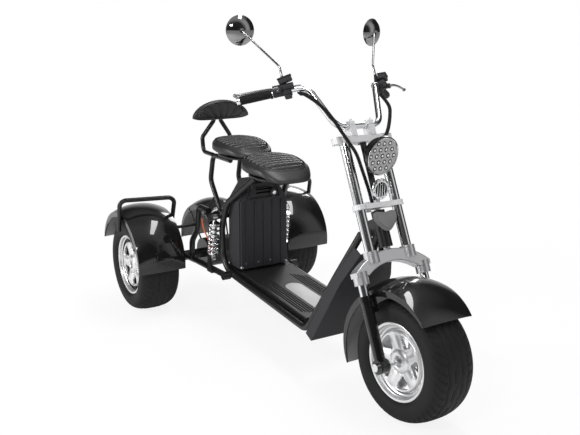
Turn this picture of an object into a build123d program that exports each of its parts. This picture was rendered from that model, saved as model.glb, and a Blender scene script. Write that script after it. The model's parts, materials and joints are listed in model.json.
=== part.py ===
from build123d import *
import os
from math import cos, radians, sin

# Electric trike: a fat-tyred chopper scooter with one steered front wheel and two rear wheels.
# X runs forward, Y to the rider's left, Z up. Pieces are drawn from the rear axle and the ground,
# and are moved back by half the wheelbase when they are written.

# Whole vehicle
wheelbase = 1648.0
rear_track = 832.0
rake_deg = 25.2
parked_steer_deg = 3.5
seat_gap = 0.3
pin_gap = 0.05
cut_over = 4.0

# Wheels and tyres
tyre_radius = 238.5
tyre_width = 206.0
tyre_shoulder = 30.0
tyre_crown_drop = 8.0
tread_groove_width = 7.0
tread_groove_depth = 5.0
tread_groove_pitch = 34.0
tread_groove_count = 4
bead_radius = 144.0
rim_width = 176.0
rim_lip = 8.0
rim_lip_height = 8.0
rim_well_radius = 122.0
rim_wall = 6.0
rim_shelf = 26.0
dish_depth = 34.0
spoke_plate = 20.0
spoke_count = 5
window_inner_radius = 50.0
window_outer_radius = 110.0
window_inner_width = 26.0
window_outer_width = 84.0
window_corner = 12.0
hub_radius = 36.0
hub_half = 60.0
axle_radius = 10.0
axle_nut_radius = 15.0
axle_nut_length = 10.0
disc_radius = 92.0
disc_thickness = 4.0
disc_hole_radius = 5.0
disc_hole_count = 12
disc_clearance = 5.0
caliper_length = 62.0
caliper_height = 34.0
caliper_wall = 14.0

# Front fork, drawn along the steering axis from the front axle
fork_tube_diameter = 39.0
fork_tube_spread = 184.0
fork_tube_offset = 11.0
leg_spread = 312.0
stanchion_diameter = 34.0
slider_diameter = 43.0
slider_top = 262.0
slider_collar_height = 22.0
slider_collar_diameter = 52.0
slider_foot_radius = 27.0
slider_sink = 40.0
bridge_socket = 385.0
bridge_top = 420.0
bridge_end_top = 352.0
bridge_end_bottom = 304.0
bridge_underside = 372.0
bridge_depth = 46.0
bridge_boss_radius = 29.0
bridge_cap = 10.0
bridge_edge = 5.0
mid_clamp_height = 591.0
mid_clamp_thickness = 20.0
clamp_spacing = 266.0
crown_height = mid_clamp_height + clamp_spacing
crown_thickness = 26.0
clamp_boss_radius = 27.0
clamp_web_width = 40.0
crown_reach = 143.0
stem_radius = 13.0
stem_nut_radius = 18.0
stem_nut_height = 12.0
lock_radius = 11.0
lock_offset = 44.0
lock_rise = 9.0
head_tube_radius = 27.0
head_tube_clearance = 9.0
head_tube_low = bridge_top + head_tube_clearance
head_tube_high = mid_clamp_height - mid_clamp_thickness / 2 - head_tube_clearance

# Handlebar, drawn in the same steering frame
bar_diameter = 25.4
bar_seat_rise = 42.0
bar_seat_height = crown_height + crown_thickness / 2 + bar_seat_rise
bar_seat_half = 107.0
bar_rise_length = 186.0
bar_rise_top = bar_seat_height + bar_rise_length
bar_rise_half = 172.0
bar_rise_back = 34.0
bar_end_rise = 8.5
bar_end_height = bar_rise_top + bar_end_rise
bar_end_half = 373.0
bar_end_back = 203.0
bar_bend = 60.0
grip_length = 128.0
grip_diameter = 36.0
bar_cap_length = 14.0
bar_cap_diameter = 33.0
riser_half = 47.0
riser_width = 26.0
riser_depth = 44.0
riser_cap = 18.0
riser_split = 1.5
riser_edge = 4.0
riser_bolt_pitch = 30.0
riser_bolt_radius = 5.5
riser_bolt_head = 7.0
control_gap = 3.0
control_length = 40.0
control_diameter = 38.0
lever_reach = 46.0
lever_thickness = 9.0
lever_width = 14.0
reservoir_length = 58.0
reservoir_width = 38.0
reservoir_height = 26.0
switch_length = 34.0
switch_box = 44.0
switch_drop = 14.0

# Headlight and horn
headlight_diameter = 146.0
headlight_bezel = 4.0
headlight_drop = 98.0
headlight_forward = 107.0
headlight_dip_deg = 9.8
headlight_depth = 56.0
headlight_rim = 14.0
headlight_lens_sink = 5.0
headlight_shell_share = 0.78
headlight_back_share = 0.4
headlight_fin_count = 3
headlight_fin_pitch = 11.0
headlight_fin_depth = 9.0
lamp_gap = 8.0
horn_diameter = 84.0
horn_depth = 27.0
horn_ring = 9.0
horn_body_share = 0.88
horn_back_share = 0.34
horn_face_share = 0.66
horn_recess = 6.0
horn_bar_count = 5
horn_bar_width = 5.0
horn_slot_count = 12
horn_slot_width = 8.0
horn_slot_depth = 3.0
light_strap_width = 28.0
light_strap_thickness = 5.0
light_strap_back = 8.0
light_strap_foot = 16.0
light_arm_diameter = 18.0

# Wiring looms, each a list of corners from the handlebar down, in the steering frame
loom_diameter = 15.0
hose_diameter = 7.0
loom_lead = 30.0
hose_lead = 14.0
loom_run_share = 0.45
clamp_top = mid_clamp_height + mid_clamp_thickness / 2 + seat_gap
right_loom_route = [
    (-50, -192, 1099),
    (-20, -196, 1069),
    (10, -157, 1008),
    (26, -126, 938),
    (48, -120, 880),
    (47, -95, 835),
    (42, -69, 794),
    (34, -56, 738),
    (25, -43, 692),
    (15, -30, 650),
    (15, -30, clamp_top),
]
hose_route = [(-42, -199, 1062), (-21, -195, 1070)]
left_loom_route = [
    (-38, 228, 1000),
    (-8, 188, 950),
    (40, 124, 893),
    (53, 88, 855),
    (48, 48, 822),
    (74, 10, 782),
]

# Mirrors
mirror_diameter = 118.0
mirror_depth = 22.0
mirror_glass_diameter = 106.0
mirror_glass_thickness = 2.5
mirror_stem = 9.0
mirror_back = 140.0
mirror_half = 338.0
mirror_rise = 459.0
mirror_height = bar_seat_height + mirror_rise
mirror_foot_share = 0.68
mirror_foot_rise = 26.0
mirror_knee_rise = 100.0
mirror_turn_share = 0.2
mirror_seat_share = 0.7
mirror_bowl_share = 0.7

# Fenders, drawn about their own axle
fender_edge_radius = 256.0
fender_skirt = 22.0
fender_rise = 30.0
fender_half_width = 122.0
fender_wall = 4.0
fender_station_shares = ((0.0, 0.15), (0.2, 0.8), (0.5, 1.0), (0.8, 0.8), (1.0, 0.15))
front_fender_start_deg = 50.0
front_fender_end_deg = 199.0
rear_fender_start_deg = 4.0
rear_fender_end_deg = 157.0
rear_fender_offset = 8.0
fender_bracket_low = 196.0
fender_bracket_high = 276.0
fender_bracket_width = 40.0
fender_bracket_thickness = 6.0

# Side rails: corners along one rail, from under the seat to the head
rail_diameter = 30.0
rail_half = 156.0
rail_seat_x = 596.0
rail_seat_half = 92.0
rail_seat_z = 750.0
rail_seat_rise = 20.0
rail_knee_x = 428.0
rail_knee_z = 604.0
rail_waist_x = 376.0
rail_waist_z = 476.0
rail_heel_x = 388.0
rail_heel_z = 270.0
rail_toe_x = 1150.0
rail_toe_z = 210.0
rail_chest_x = 1296.0
rail_chest_half = 112.0
rail_chest_z = 478.0
rail_head_x = 1374.0
rail_head_half = 52.0
rail_head_z = 664.0
rail_bend_small = 60.0
rail_bend_large = 110.0

# Floor and leg shield
floor_rear_x = 392.0
floor_rear_z = 292.0
floor_front_z = 238.0
floor_thickness = 30.0
mat_thickness = 6.0
mat_rib_height = 3.0
mat_rib_width = 12.0
mat_rib_pitch = 24.0
mat_rib_count = 3
mat_first_rib = 68.0
mat_front_x = 1112.0
mat_rear_x = 545.0
pad_half_width = 43.0
pad_length = 300.0
pad_thickness = 2.0
pad_front_x = 1060.0
shield_wall = 6.0
shield_depth = 46.0
shield_length = 452.0
shield_knee = 310.0
shield_knee_half = 127.0
shield_top_half = 78.0
spine_diameter = 34.0
gusset_depth = 34.0
gusset_low = head_tube_low + 2 * head_tube_radius
gusset_high = head_tube_high - head_tube_radius
head_cover_width = 100.0
head_cover_height = 76.0
head_cover_drop = 8.0
head_cover_dip = 8.0
head_cover_thickness = 14.0
head_cover_corner = 9.0
head_cover_inlay = 3.0
head_cover_margin = 11.0

# Battery case, seats and backrest
case_front_x = 508.0
case_back_x = 402.0
case_shoulder_z = 622.0
case_top_z = 716.0
case_top_half = 68.0
case_half = 131.0
cover_thickness = 14.0
cover_margin = 5.0
cover_rib = 4.0
cover_rib_width = 10.0
cover_rib_count = 5
handle_width = 84.0
handle_height = 30.0
handle_depth = 22.0
handle_z = 668.0
handle_bar = 9.0
driver_seat_length = 326.0
driver_seat_width = 300.0
driver_seat_height = 92.0
driver_seat_x = 640.0
driver_seat_z = 766.0
pan_thickness = 8.0
pan_share = 0.8
passenger_seat_length = 318.0
passenger_seat_width = 270.0
passenger_seat_height = 84.0
passenger_seat_x = 306.0
passenger_seat_z = 812.0
seat_corner_share = 0.42
seat_edge = 24.0
backrest_width = 318.0
backrest_height = 100.0
backrest_depth = 44.0
backrest_z = 958.0
backrest_x = 74.0
strut_diameter = 22.0
strut_top_half = 20.0
strut_low_x = 16.0
strut_low_z = 864.0
strut_foot_x = 26.0
strut_bend_share = 1.5

# Rear frame and suspension
frame_tube = 25.4
cross_x = 348.0
cross_z = 524.0
cross_half = 214.0
post_half = 80.0
post_top_front_x = 330.0
post_top_rear_x = 140.0
post_back_x = 104.0
post_back_z = 655.0
post_low_x = 215.0
post_low_z = 510.0
swing_tube = 30.0
swing_half = 190.0
swing_front_x = 478.0
swing_front_z = 262.0
hoop_low_x = 88.0
hoop_low_z = 247.0
hoop_knee_x = 98.0
hoop_knee_z = 346.0
hoop_neck_x = 168.0
hoop_neck_z = 424.0
hoop_top_x = 188.0
hoop_top_z = 546.0
hoop_end_x = 300.0
hoop_bend_small = 36.0
hoop_bend_large = 60.0
fender_stay = 16.0
fender_stay_deg = 52.0
swing_pivot_radius = 20.0
swing_pivot_overhang = 4.0
axle_housing_radius = 26.0
axle_housing_half = 340.0
motor_radius = 78.0
motor_half = 85.0
shock_half = 200.0
shock_top_x = 384.0
shock_top_z = 532.0
shock_foot_x = 352.0
shock_foot_z = 320.0
shock_eye_radius = 13.0
shock_eye_length = 24.0
shock_pin_radius = 6.0
shock_rod_radius = 7.0
shock_body_radius = 15.0
coil_radius = 23.0
coil_wire_radius = 4.5
coil_turns = 6
coil_share = 0.68
shock_body_share = 0.4
shock_seat_share = 0.14
guard_tube = 22.0
guard_outer_x = 30.0
guard_outer_z = 430.0
guard_top_z = 592.0
guard_rear_x = 62.0
guard_front_x = 122.0
guard_bend = 34.0


# Frames of reference
def steering_axis():
    return Axis((wheelbase, 0, tyre_radius), (-sin(radians(rake_deg)), 0, cos(radians(rake_deg))))


def fork_frame():
    return Location((wheelbase, 0, tyre_radius), (0, -rake_deg, 0))


def level_steered(shape):
    return shape.rotate(steering_axis(), parked_steer_deg)


def steered(shape):
    return level_steered(fork_frame() * shape)


def fork_point(forward, height):
    tilt = radians(rake_deg)
    x = wheelbase + forward * cos(tilt) - height * sin(tilt)
    return x, tyre_radius + forward * sin(tilt) + height * cos(tilt)


def mirrored(shape):
    return mirror(shape, about=Plane.XZ)


def pair(shape):
    return Compound([*shape.solids(), *mirrored(shape).solids()])


def on_side(shape, side):
    return shape if side > 0 else mirrored(shape)


# General shapes
def rod(start, end, diameter):
    start, end = Vector(*start), Vector(*end)
    run = end - start
    return extrude(Plane(start, z_dir=run) * Circle(diameter / 2), amount=run.length)


def bent_tube(points, diameter, bends):
    path = FilletPolyline(*points, radius=bends)
    return sweep(Plane(path @ 0, z_dir=path % 0) * Circle(diameter / 2), path=path)


def y_ring(outer, inner, y_low, y_high):
    section = Circle(outer) - Circle(inner) if inner else Circle(outer)
    return Pos(0, y_high, 0) * Rot(90, 0, 0) * extrude(section, amount=y_high - y_low)


def prism(corners, y_low, y_high):
    face = make_face(Polyline(*[(x, y_low, z) for x, z in corners], close=True))
    return extrude(face, amount=y_high - y_low, dir=(0, 1, 0))


def block(x_low, x_high, y_low, y_high, z_low, z_high):
    box = Box(x_high - x_low, y_high - y_low, z_high - z_low, align=(Align.MIN, Align.MIN, Align.MIN))
    return Pos(x_low, y_low, z_low) * box


# Wheels, drawn about the Y axis at their own centre, with the open face towards +Y
def tyre():
    half = tyre_width / 2
    bead_half = rim_width / 2 - rim_lip - seat_gap
    bead = bead_radius + seat_gap
    crown = tyre_radius - tyre_crown_drop
    shoulder = crown - tyre_shoulder / 2
    wall = half - tyre_crown_drop
    middle = (tyre_radius + bead_radius) / 2
    rim_half = rim_width / 2
    lip = bead_radius + rim_lip_height + seat_gap
    side_wall = ThreePointArc((rim_half, lip), (half, middle), (wall, shoulder))
    turn_middle = (half - tyre_shoulder / 2, crown - tyre_crown_drop / 2)
    turn = ThreePointArc((wall, shoulder), turn_middle, (half - tyre_shoulder, crown))
    tread = ThreePointArc((half - tyre_shoulder, crown), (0, tyre_radius), (tyre_shoulder - half, crown))
    far_wall = ThreePointArc((-rim_half, lip), (-half, middle), (-wall, shoulder))
    far_turn = ThreePointArc((-wall, shoulder), (-turn_middle[0], turn_middle[1]), (tyre_shoulder - half, crown))
    base = Polyline((-rim_half, lip), (-bead_half, lip), (-bead_half, bead), (bead_half, bead), (bead_half, lip), (rim_half, lip))
    shape = revolve(Plane.YZ * make_face([base, side_wall, turn, tread, far_turn, far_wall]), axis=Axis.Y)
    floor = tyre_radius - tread_groove_depth - tyre_crown_drop / 2
    for k in range(tread_groove_count):
        y = (k - (tread_groove_count - 1) / 2) * tread_groove_pitch
        shape -= y_ring(tyre_radius + cut_over, floor, y - tread_groove_width / 2, y + tread_groove_width / 2)
    return shape


def wheel_levels():
    face = rim_width / 2 - dish_depth
    return face, face - spoke_plate


def rim():
    half = rim_width / 2
    flange = bead_radius + rim_lip_height
    shelf = half - rim_lip - rim_shelf
    well = shelf - rim_shelf
    near = [
        (well, rim_well_radius),
        (shelf, bead_radius),
        (half - rim_lip, bead_radius),
        (half - rim_lip, flange),
        (half, flange),
        (half, bead_radius - rim_wall),
        (shelf + rim_wall / 2, bead_radius - rim_wall),
        (well + rim_wall / 2, rim_well_radius - rim_wall),
    ]
    far = [(-y, r) for y, r in reversed(near)]
    barrel = revolve(Plane.YZ * make_face(Polyline(*near, *far, close=True)), axis=Axis.Y)
    face, back = wheel_levels()
    web_edge = bead_radius - rim_wall / 2
    web_outline = [
        (back, hub_radius / 2),
        (face, hub_radius / 2),
        (face, rim_well_radius - rim_wall),
        (shelf + rim_wall, web_edge),
        (shelf, web_edge),
        (back, rim_well_radius - rim_wall / 2),
    ]
    web = revolve(Plane.YZ * make_face(Polyline(*web_outline, close=True)), axis=Axis.Y)
    outline = make_face(
        Polyline(
            (window_inner_radius, -window_inner_width / 2),
            (window_outer_radius, -window_outer_width / 2),
            (window_outer_radius, window_outer_width / 2),
            (window_inner_radius, window_inner_width / 2),
            close=True,
        )
    )
    window = Rot(90, 0, 0) * extrude(fillet(outline.vertices(), window_corner), amount=rim_width, both=True)
    for k in range(spoke_count):
        web -= Rot(0, 360 * (k + 0.5) / spoke_count, 0) * window
    hub = y_ring(hub_radius, hub_radius / 2, -hub_half, face + rim_wall)
    sleeve = y_ring(hub_radius / 2 + rim_wall, axle_radius + pin_gap, -hub_half, face + rim_wall)
    return barrel + web + hub + sleeve


def brake_disc():
    inner = axle_radius + disc_clearance
    shape = y_ring(disc_radius, inner, -hub_half - disc_thickness, -hub_half)
    hole = Rot(90, 0, 0) * Cylinder(disc_hole_radius, 2 * rim_width)
    for k in range(disc_hole_count):
        radius = disc_radius - (2 + 2 * (k % 2)) * disc_hole_radius
        shape -= Rot(0, 360 * k / disc_hole_count, 0) * Pos(radius, 0, 0) * hole
    return shape


def fender(start_deg, end_deg):
    sections = []
    for place, fullness in fender_station_shares:
        angle = radians(start_deg + (end_deg - start_deg) * place)
        plane = Plane((0, 0, 0), x_dir=(0, 1, 0), z_dir=(sin(angle), 0, -cos(angle)))
        edge = fender_edge_radius
        shoulder = edge + fender_skirt * fullness
        crown = shoulder + fender_rise * fullness
        out, inn = fender_half_width, fender_half_width - fender_wall
        outer = ThreePointArc((-out, shoulder), (0, crown), (out, shoulder))
        low = shoulder - fender_wall * fullness / 2
        inner = ThreePointArc((inn, low), (0, crown - fender_wall), (-inn, low))
        edges = [
            outer,
            Line((out, shoulder), (out, edge - fender_wall)),
            Line((out, edge - fender_wall), (inn, edge - fender_wall)),
            Line((inn, edge - fender_wall), (inn, low)),
            inner,
            Line((-inn, low), (-inn, edge - fender_wall)),
            Line((-inn, edge - fender_wall), (-out, edge - fender_wall)),
            Line((-out, edge - fender_wall), (-out, shoulder)),
        ]
        sections.append(plane * make_face(edges))
    return loft(sections)


# Front fork pieces
def fork_tubes():
    half = fork_tube_spread / 2
    top = crown_height + crown_thickness / 2
    tube = rod((fork_tube_offset, half, bridge_socket), (fork_tube_offset, half, top), fork_tube_diameter)
    return pair(tube)


def tube_holes(extra):
    tube = rod(
        (fork_tube_offset, fork_tube_spread / 2, bridge_socket - seat_gap),
        (fork_tube_offset, fork_tube_spread / 2, crown_height + crown_thickness),
        fork_tube_diameter + 2 * extra,
    )
    return tube + mirrored(tube)


def fork_bridge():
    reach = leg_spread / 2 + bridge_boss_radius
    inner = leg_spread / 2 - bridge_boss_radius
    top = ThreePointArc((-reach, bridge_end_top), (0, bridge_top), (reach, bridge_end_top))
    under_level = bridge_end_bottom + bridge_boss_radius
    under = ThreePointArc((-inner, under_level), (0, bridge_underside), (inner, under_level))
    edges = [
        top,
        Line((reach, bridge_end_top), (reach, under_level)),
        Line((reach, under_level), (inner, under_level)),
        under,
        Line((-inner, under_level), (-reach, under_level)),
        Line((-reach, under_level), (-reach, bridge_end_top)),
    ]
    arch = extrude(Plane.YZ * make_face(edges), amount=bridge_depth / 2, both=True)
    arch = fillet(arch.faces().sort_by(Axis.X)[-1].edges() + arch.faces().sort_by(Axis.X)[0].edges(), bridge_edge)
    half = leg_spread / 2
    boss = rod((0, half, bridge_end_bottom), (0, half, bridge_end_top), 2 * bridge_boss_radius)
    socket = rod(
        (fork_tube_offset, fork_tube_spread / 2, bridge_socket - bridge_cap),
        (fork_tube_offset, fork_tube_spread / 2, bridge_top),
        fork_tube_diameter + 2 * bridge_cap,
    )
    stem = rod((0, 0, bridge_socket), (0, 0, mid_clamp_height + mid_clamp_thickness / 2), 2 * stem_radius)
    shape = arch + boss + mirrored(boss) + socket + mirrored(socket) + stem
    leg = rod(
        (0, half, bridge_end_bottom - cut_over),
        (0, half, bridge_end_top - bridge_cap + seat_gap),
        stanchion_diameter + 2 * seat_gap,
    )
    return shape - tube_holes(seat_gap) - leg - mirrored(leg)


def clamp_plate(height, thickness, reach):
    half = fork_tube_spread / 2
    low = height - thickness / 2
    boss = Pos(fork_tube_offset, half, low) * Cylinder(
        clamp_boss_radius, thickness, align=(Align.CENTER, Align.CENTER, Align.MIN)
    )
    web = block(
        fork_tube_offset - clamp_web_width / 2,
        fork_tube_offset + clamp_web_width / 2,
        -reach,
        reach,
        low,
        low + thickness,
    )
    web = fillet(web.edges().filter_by(Axis.Z), clamp_web_width / 3)
    middle = Pos(0, 0, low) * Cylinder(clamp_boss_radius, thickness, align=(Align.CENTER, Align.CENTER, Align.MIN))
    return boss + mirrored(boss) + web + middle - tube_holes(seat_gap)


def mid_clamp():
    reach = fork_tube_spread / 2 + clamp_boss_radius
    shape = clamp_plate(mid_clamp_height, mid_clamp_thickness, reach)
    stem = Cylinder(stem_radius + seat_gap, crown_height)
    top = mid_clamp_height + mid_clamp_thickness / 2
    nut = Pos(0, 0, top + stem_nut_height / 2) * Cylinder(stem_nut_radius, stem_nut_height)
    lock_height = mid_clamp_thickness + 2 * lock_rise
    lock = Pos(0, -lock_offset, mid_clamp_height) * Cylinder(lock_radius, lock_height)
    return shape + nut + lock - Pos(0, 0, top + seat_gap - crown_height / 2) * stem


def top_crown():
    shape = clamp_plate(crown_height, crown_thickness, crown_reach)
    top = crown_height + crown_thickness / 2
    cap_top = bar_seat_height + riser_cap
    riser = block(
        fork_tube_offset - riser_depth / 2,
        fork_tube_offset + riser_depth / 2,
        riser_half - riser_width / 2,
        riser_half + riser_width / 2,
        top,
        cap_top,
    )
    riser = fillet(riser.faces().sort_by(Axis.Z)[-1].edges(), riser_edge)
    split = Pos(fork_tube_offset, riser_half, bar_seat_height) * Box(riser_depth, riser_width, riser_split)
    riser -= split - Pos(fork_tube_offset, riser_half, bar_seat_height) * Box(2 * riser_bolt_pitch / 3, riser_width, riser_cap)
    for forward in (-riser_bolt_pitch / 2, riser_bolt_pitch / 2):
        riser += rod(
            (fork_tube_offset + forward, riser_half, bar_seat_height - riser_cap),
            (fork_tube_offset + forward, riser_half, cap_top + riser_bolt_head),
            2 * riser_bolt_radius,
        )
    bar = rod(
        (fork_tube_offset, -crown_reach, bar_seat_height),
        (fork_tube_offset, crown_reach, bar_seat_height),
        bar_diameter + 2 * seat_gap,
    )
    return shape + riser + mirrored(riser) - bar


def stanchions():
    half = leg_spread / 2
    low = slider_top - slider_sink
    return pair(rod((0, half, low), (0, half, bridge_end_top - bridge_cap), stanchion_diameter))


def sliders():
    half = leg_spread / 2
    leg = rod((0, half, 0), (0, half, slider_top), slider_diameter)
    collar = rod((0, half, slider_top - slider_collar_height), (0, half, slider_top), slider_collar_diameter)
    foot = Pos(0, half, 0) * y_ring(slider_foot_radius, 0, -slider_diameter / 2, slider_diameter / 2)
    bore = rod(
        (0, half, slider_top - slider_sink - seat_gap), (0, half, slider_top + cut_over), stanchion_diameter + 2 * seat_gap
    )
    axle = y_ring(axle_radius + seat_gap, 0, 0, leg_spread)
    plate_low = fender_half_width + seat_gap
    bracket = block(
        -fender_bracket_width / 2,
        fender_bracket_width / 2,
        plate_low,
        plate_low + fender_bracket_thickness,
        fender_bracket_low,
        fender_bracket_high,
    )
    bracket = fillet(bracket.edges().filter_by(Axis.Y), fender_bracket_width / 4)
    lug = block(
        -fender_bracket_width / 4,
        fender_bracket_width / 4,
        plate_low,
        half,
        fender_bracket_low,
        fender_bracket_low + slider_collar_height,
    )
    return pair(leg + collar + foot + bracket + lug - bore - axle)


def front_axle():
    end = leg_spread / 2 + slider_diameter / 2
    shape = y_ring(axle_radius, 0, -end - axle_nut_length / 2, end + axle_nut_length / 2)
    nut = y_ring(axle_nut_radius, 0, end + seat_gap, end + axle_nut_length)
    return shape + nut + mirrored(nut)


def front_caliper():
    slot_low = hub_half - disc_clearance
    slot_high = hub_half + disc_thickness + disc_clearance
    low, high = slot_low - caliper_wall, slot_high + caliper_wall
    reach = disc_radius + disc_clearance + caliper_wall / 2
    body = block(-caliper_length / 2, caliper_length / 2, low, high, reach - caliper_height, reach)
    slot = y_ring(disc_radius + disc_clearance, 0, slot_low, slot_high)
    arm = block(
        -caliper_height / 2,
        caliper_height / 2,
        high - cut_over,
        leg_spread / 2 - slider_diameter / 2 + cut_over,
        reach - caliper_height,
        reach,
    )
    leg = rod((0, leg_spread / 2, 0), (0, leg_spread / 2, slider_top), slider_diameter + 2 * seat_gap)
    return body - slot + arm - leg


# Handlebar pieces, with a frame that starts at the grip's outer end and runs inwards
def bar_points():
    end = (-bar_end_back, bar_end_half, bar_end_height)
    rise = (-bar_rise_back, bar_rise_half, bar_rise_top)
    seat = (fork_tube_offset, bar_seat_half, bar_seat_height)
    return end, rise, seat


def bar_tube(diameter):
    half = bar_points()
    points = [*half, *[(x, -y, z) for x, y, z in reversed(half)]]
    return bent_tube(points, diameter, bar_bend)


def handlebar():
    cap_place = Pos(0, 0, -(bar_cap_length + seat_gap) / 2)
    cap = bar_end_frame() * (cap_place * Cylinder(bar_cap_diameter / 2, bar_cap_length - seat_gap))
    neck = bar_end_frame() * (Pos(0, 0, -bar_cap_length / 4) * Cylinder(bar_diameter / 2, bar_cap_length / 2))
    return bar_tube(bar_diameter) + cap + neck + mirrored(cap) + mirrored(neck)


def bar_end_frame():
    end, rise, _ = (Vector(*point) for point in bar_points())
    return Plane(end, x_dir=(0, 0, 1), z_dir=rise - end)


def bar_sleeve(start, length, diameter):
    section = Circle(diameter / 2) - Circle(bar_diameter / 2 + seat_gap)
    return bar_end_frame() * (Pos(0, 0, start) * extrude(section, amount=length))


def controls():
    start = grip_length + control_gap
    clamp = bar_sleeve(start, control_length, control_diameter)
    inner = start + control_length
    low = -switch_box / 2 - switch_drop
    switch = block(low, switch_box / 2, -switch_box / 2, switch_box / 2, inner, inner + switch_length)
    switch = fillet(switch.edges(), switch_box / 8)
    reservoir = block(
        control_diameter / 2 - lever_thickness / 2,
        control_diameter / 2 + reservoir_height,
        -control_diameter / 2 - reservoir_width / 2,
        -control_diameter / 2 + reservoir_width / 2,
        start,
        start + reservoir_length,
    )
    pivot = block(
        -lever_thickness,
        lever_thickness,
        -lever_reach - lever_width / 2,
        -control_diameter / 4,
        start + control_length / 4,
        start + control_length,
    )
    blade = extrude(
        Plane.YZ
        * make_face(
            Polyline(
                (-lever_reach, start + control_length),
                (-lever_reach - lever_width, start + control_length / 2),
                (-lever_reach - lever_width, start - control_length),
                (-lever_reach - lever_width / 2, 0),
                (-lever_reach + lever_width / 2, 0),
                (-lever_reach, start - control_length),
                (-lever_reach, start),
                close=True,
            )
        ),
        amount=lever_thickness / 2,
        both=True,
    )
    solid = switch + reservoir + pivot + blade
    bore = Cylinder(bar_diameter / 2 + seat_gap, 4 * grip_length)
    low, _, _ = mirror_stations()
    foot = rod(low, low + Vector(0, 0, mirror_knee_rise), 2 * (mirror_stem + seat_gap))
    return clamp + bar_end_frame() * (solid - bore) - foot


def mirror_stations():
    end, rise, _ = (Vector(*point) for point in bar_points())
    foot = end + (rise - end) * mirror_foot_share
    low = foot + Vector(0, 0, bar_diameter / 2 + seat_gap)
    return low, foot + Vector(0, 0, mirror_knee_rise), Vector(-mirror_back, mirror_half, mirror_height)


def mirror_arm():
    low, knee, top = mirror_stations()
    stem = bent_tube([low, knee, top], mirror_stem, mirror_knee_rise / 3)
    return stem + rod(low, low + Vector(0, 0, mirror_foot_rise), 2 * mirror_stem)


def mirror_face_frame():
    x, z = fork_point(-mirror_back, mirror_height)
    rear = Vector(-1, -mirror_turn_share, 0).normalized()
    return Plane(Vector(x, mirror_half, z) + rear * mirror_depth * mirror_seat_share, x_dir=(0, 1, 0), z_dir=rear)


def mirror_head():
    back = ThreePointArc((0, mirror_depth), (mirror_diameter / 3, mirror_depth * mirror_bowl_share), (mirror_diameter / 2, 0))
    edges = [back, Line((mirror_diameter / 2, 0), (0, 0)), Line((0, 0), (0, mirror_depth))]
    bowl = revolve(Plane.XZ * make_face(edges), axis=Axis.Z)
    recess = Cylinder(mirror_glass_diameter / 2 + seat_gap, 2 * mirror_glass_thickness)
    glass = Pos(0, 0, -mirror_glass_thickness / 2 + seat_gap) * Cylinder(mirror_glass_diameter / 2, mirror_glass_thickness)
    return Rot(0, 180, 0) * (bowl - recess), glass


# Headlight and horn, drawn about the X axis behind their front face
def headlight_place():
    x, z = fork_point(headlight_forward, crown_height - headlight_drop)
    return Pos(x, 0, z) * Rot(0, headlight_dip_deg, 0)


def horn_place():
    x, z = fork_point(headlight_forward, crown_height - headlight_drop)
    return Pos(x, 0, z - headlight_bezel - (headlight_diameter + horn_diameter) / 2 - lamp_gap)


def x_ring(outer, inner, x_low, x_high):
    section = Circle(outer) - Circle(inner) if inner else Circle(outer)
    return Pos(x_low, 0, 0) * Rot(0, 90, 0) * extrude(section, amount=x_high - x_low)


def headlight():
    lens_radius = headlight_diameter / 2
    radius = lens_radius + headlight_bezel
    back = -headlight_depth
    profile = [
        Line((back, 0), (0, 0)),
        Line((0, 0), (0, radius - headlight_bezel / 2)),
        Line((0, radius - headlight_bezel / 2), (-headlight_bezel / 2, radius)),
        Line((-headlight_bezel / 2, radius), (-headlight_rim, radius)),
        Line((-headlight_rim, radius), (-headlight_rim, radius * headlight_shell_share)),
        ThreePointArc(
            (-headlight_rim, radius * headlight_shell_share),
            (back / 2 - headlight_rim / 2, radius * (headlight_shell_share + headlight_back_share) / 2 + headlight_bezel),
            (back, radius * headlight_back_share),
        ),
        Line((back, radius * headlight_back_share), (back, 0)),
    ]
    shell = revolve(Plane.XZ * make_face(profile), axis=Axis.X)
    for k in range(headlight_fin_count):
        front = -headlight_rim - k * headlight_fin_pitch
        inner = radius * headlight_back_share
        outer = radius * headlight_shell_share + headlight_fin_depth * (1 - k / headlight_fin_count)
        shell += x_ring(outer, inner, front - headlight_fin_pitch / 2, front)
    shell -= x_ring(lens_radius, 0, -headlight_lens_sink, cut_over)
    lens = x_ring(lens_radius - seat_gap, 0, -headlight_lens_sink + seat_gap, 0)
    return shell, lens


def horn():
    radius = horn_diameter / 2
    body = radius * horn_body_share
    foot = radius * horn_back_share
    side = -horn_depth + horn_ring
    profile = [
        Line((-horn_depth, 0), (0, 0)),
        Line((0, 0), (0, radius - horn_ring / 2)),
        ThreePointArc((0, radius - horn_ring / 2), (-horn_ring / 4, radius - horn_ring / 8), (-horn_ring / 2, radius)),
        Line((-horn_ring / 2, radius), (-horn_ring, radius)),
        Line((-horn_ring, radius), (-horn_ring, body)),
        Line((-horn_ring, body), (side, body)),
        Line((side, body), (-horn_depth, foot)),
        Line((-horn_depth, foot), (-horn_depth, 0)),
    ]
    shape = revolve(Plane.XZ * make_face(profile), axis=Axis.X)
    shape -= x_ring(radius * horn_face_share, 0, -horn_recess, cut_over)
    pitch = 2 * radius * horn_face_share / (horn_bar_count + 1)
    for k in range(horn_bar_count):
        y = (k - (horn_bar_count - 1) / 2) * pitch
        bar = block(
            -horn_recess - horn_bar_width / 2, -horn_bar_width / 4, y - horn_bar_width / 2, y + horn_bar_width / 2, -radius, radius
        )
        shape += bar & x_ring(radius * horn_face_share + horn_bar_width / 2, 0, -horn_depth / 2, 0)
    slot = block(
        side,
        -horn_ring - horn_slot_depth,
        -horn_slot_width / 2,
        horn_slot_width / 2,
        body - horn_slot_depth,
        radius,
    )
    for k in range(horn_slot_count):
        shape -= Rot(360 * (k + 1 / 2) / horn_slot_count, 0, 0) * slot
    return shape


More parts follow.
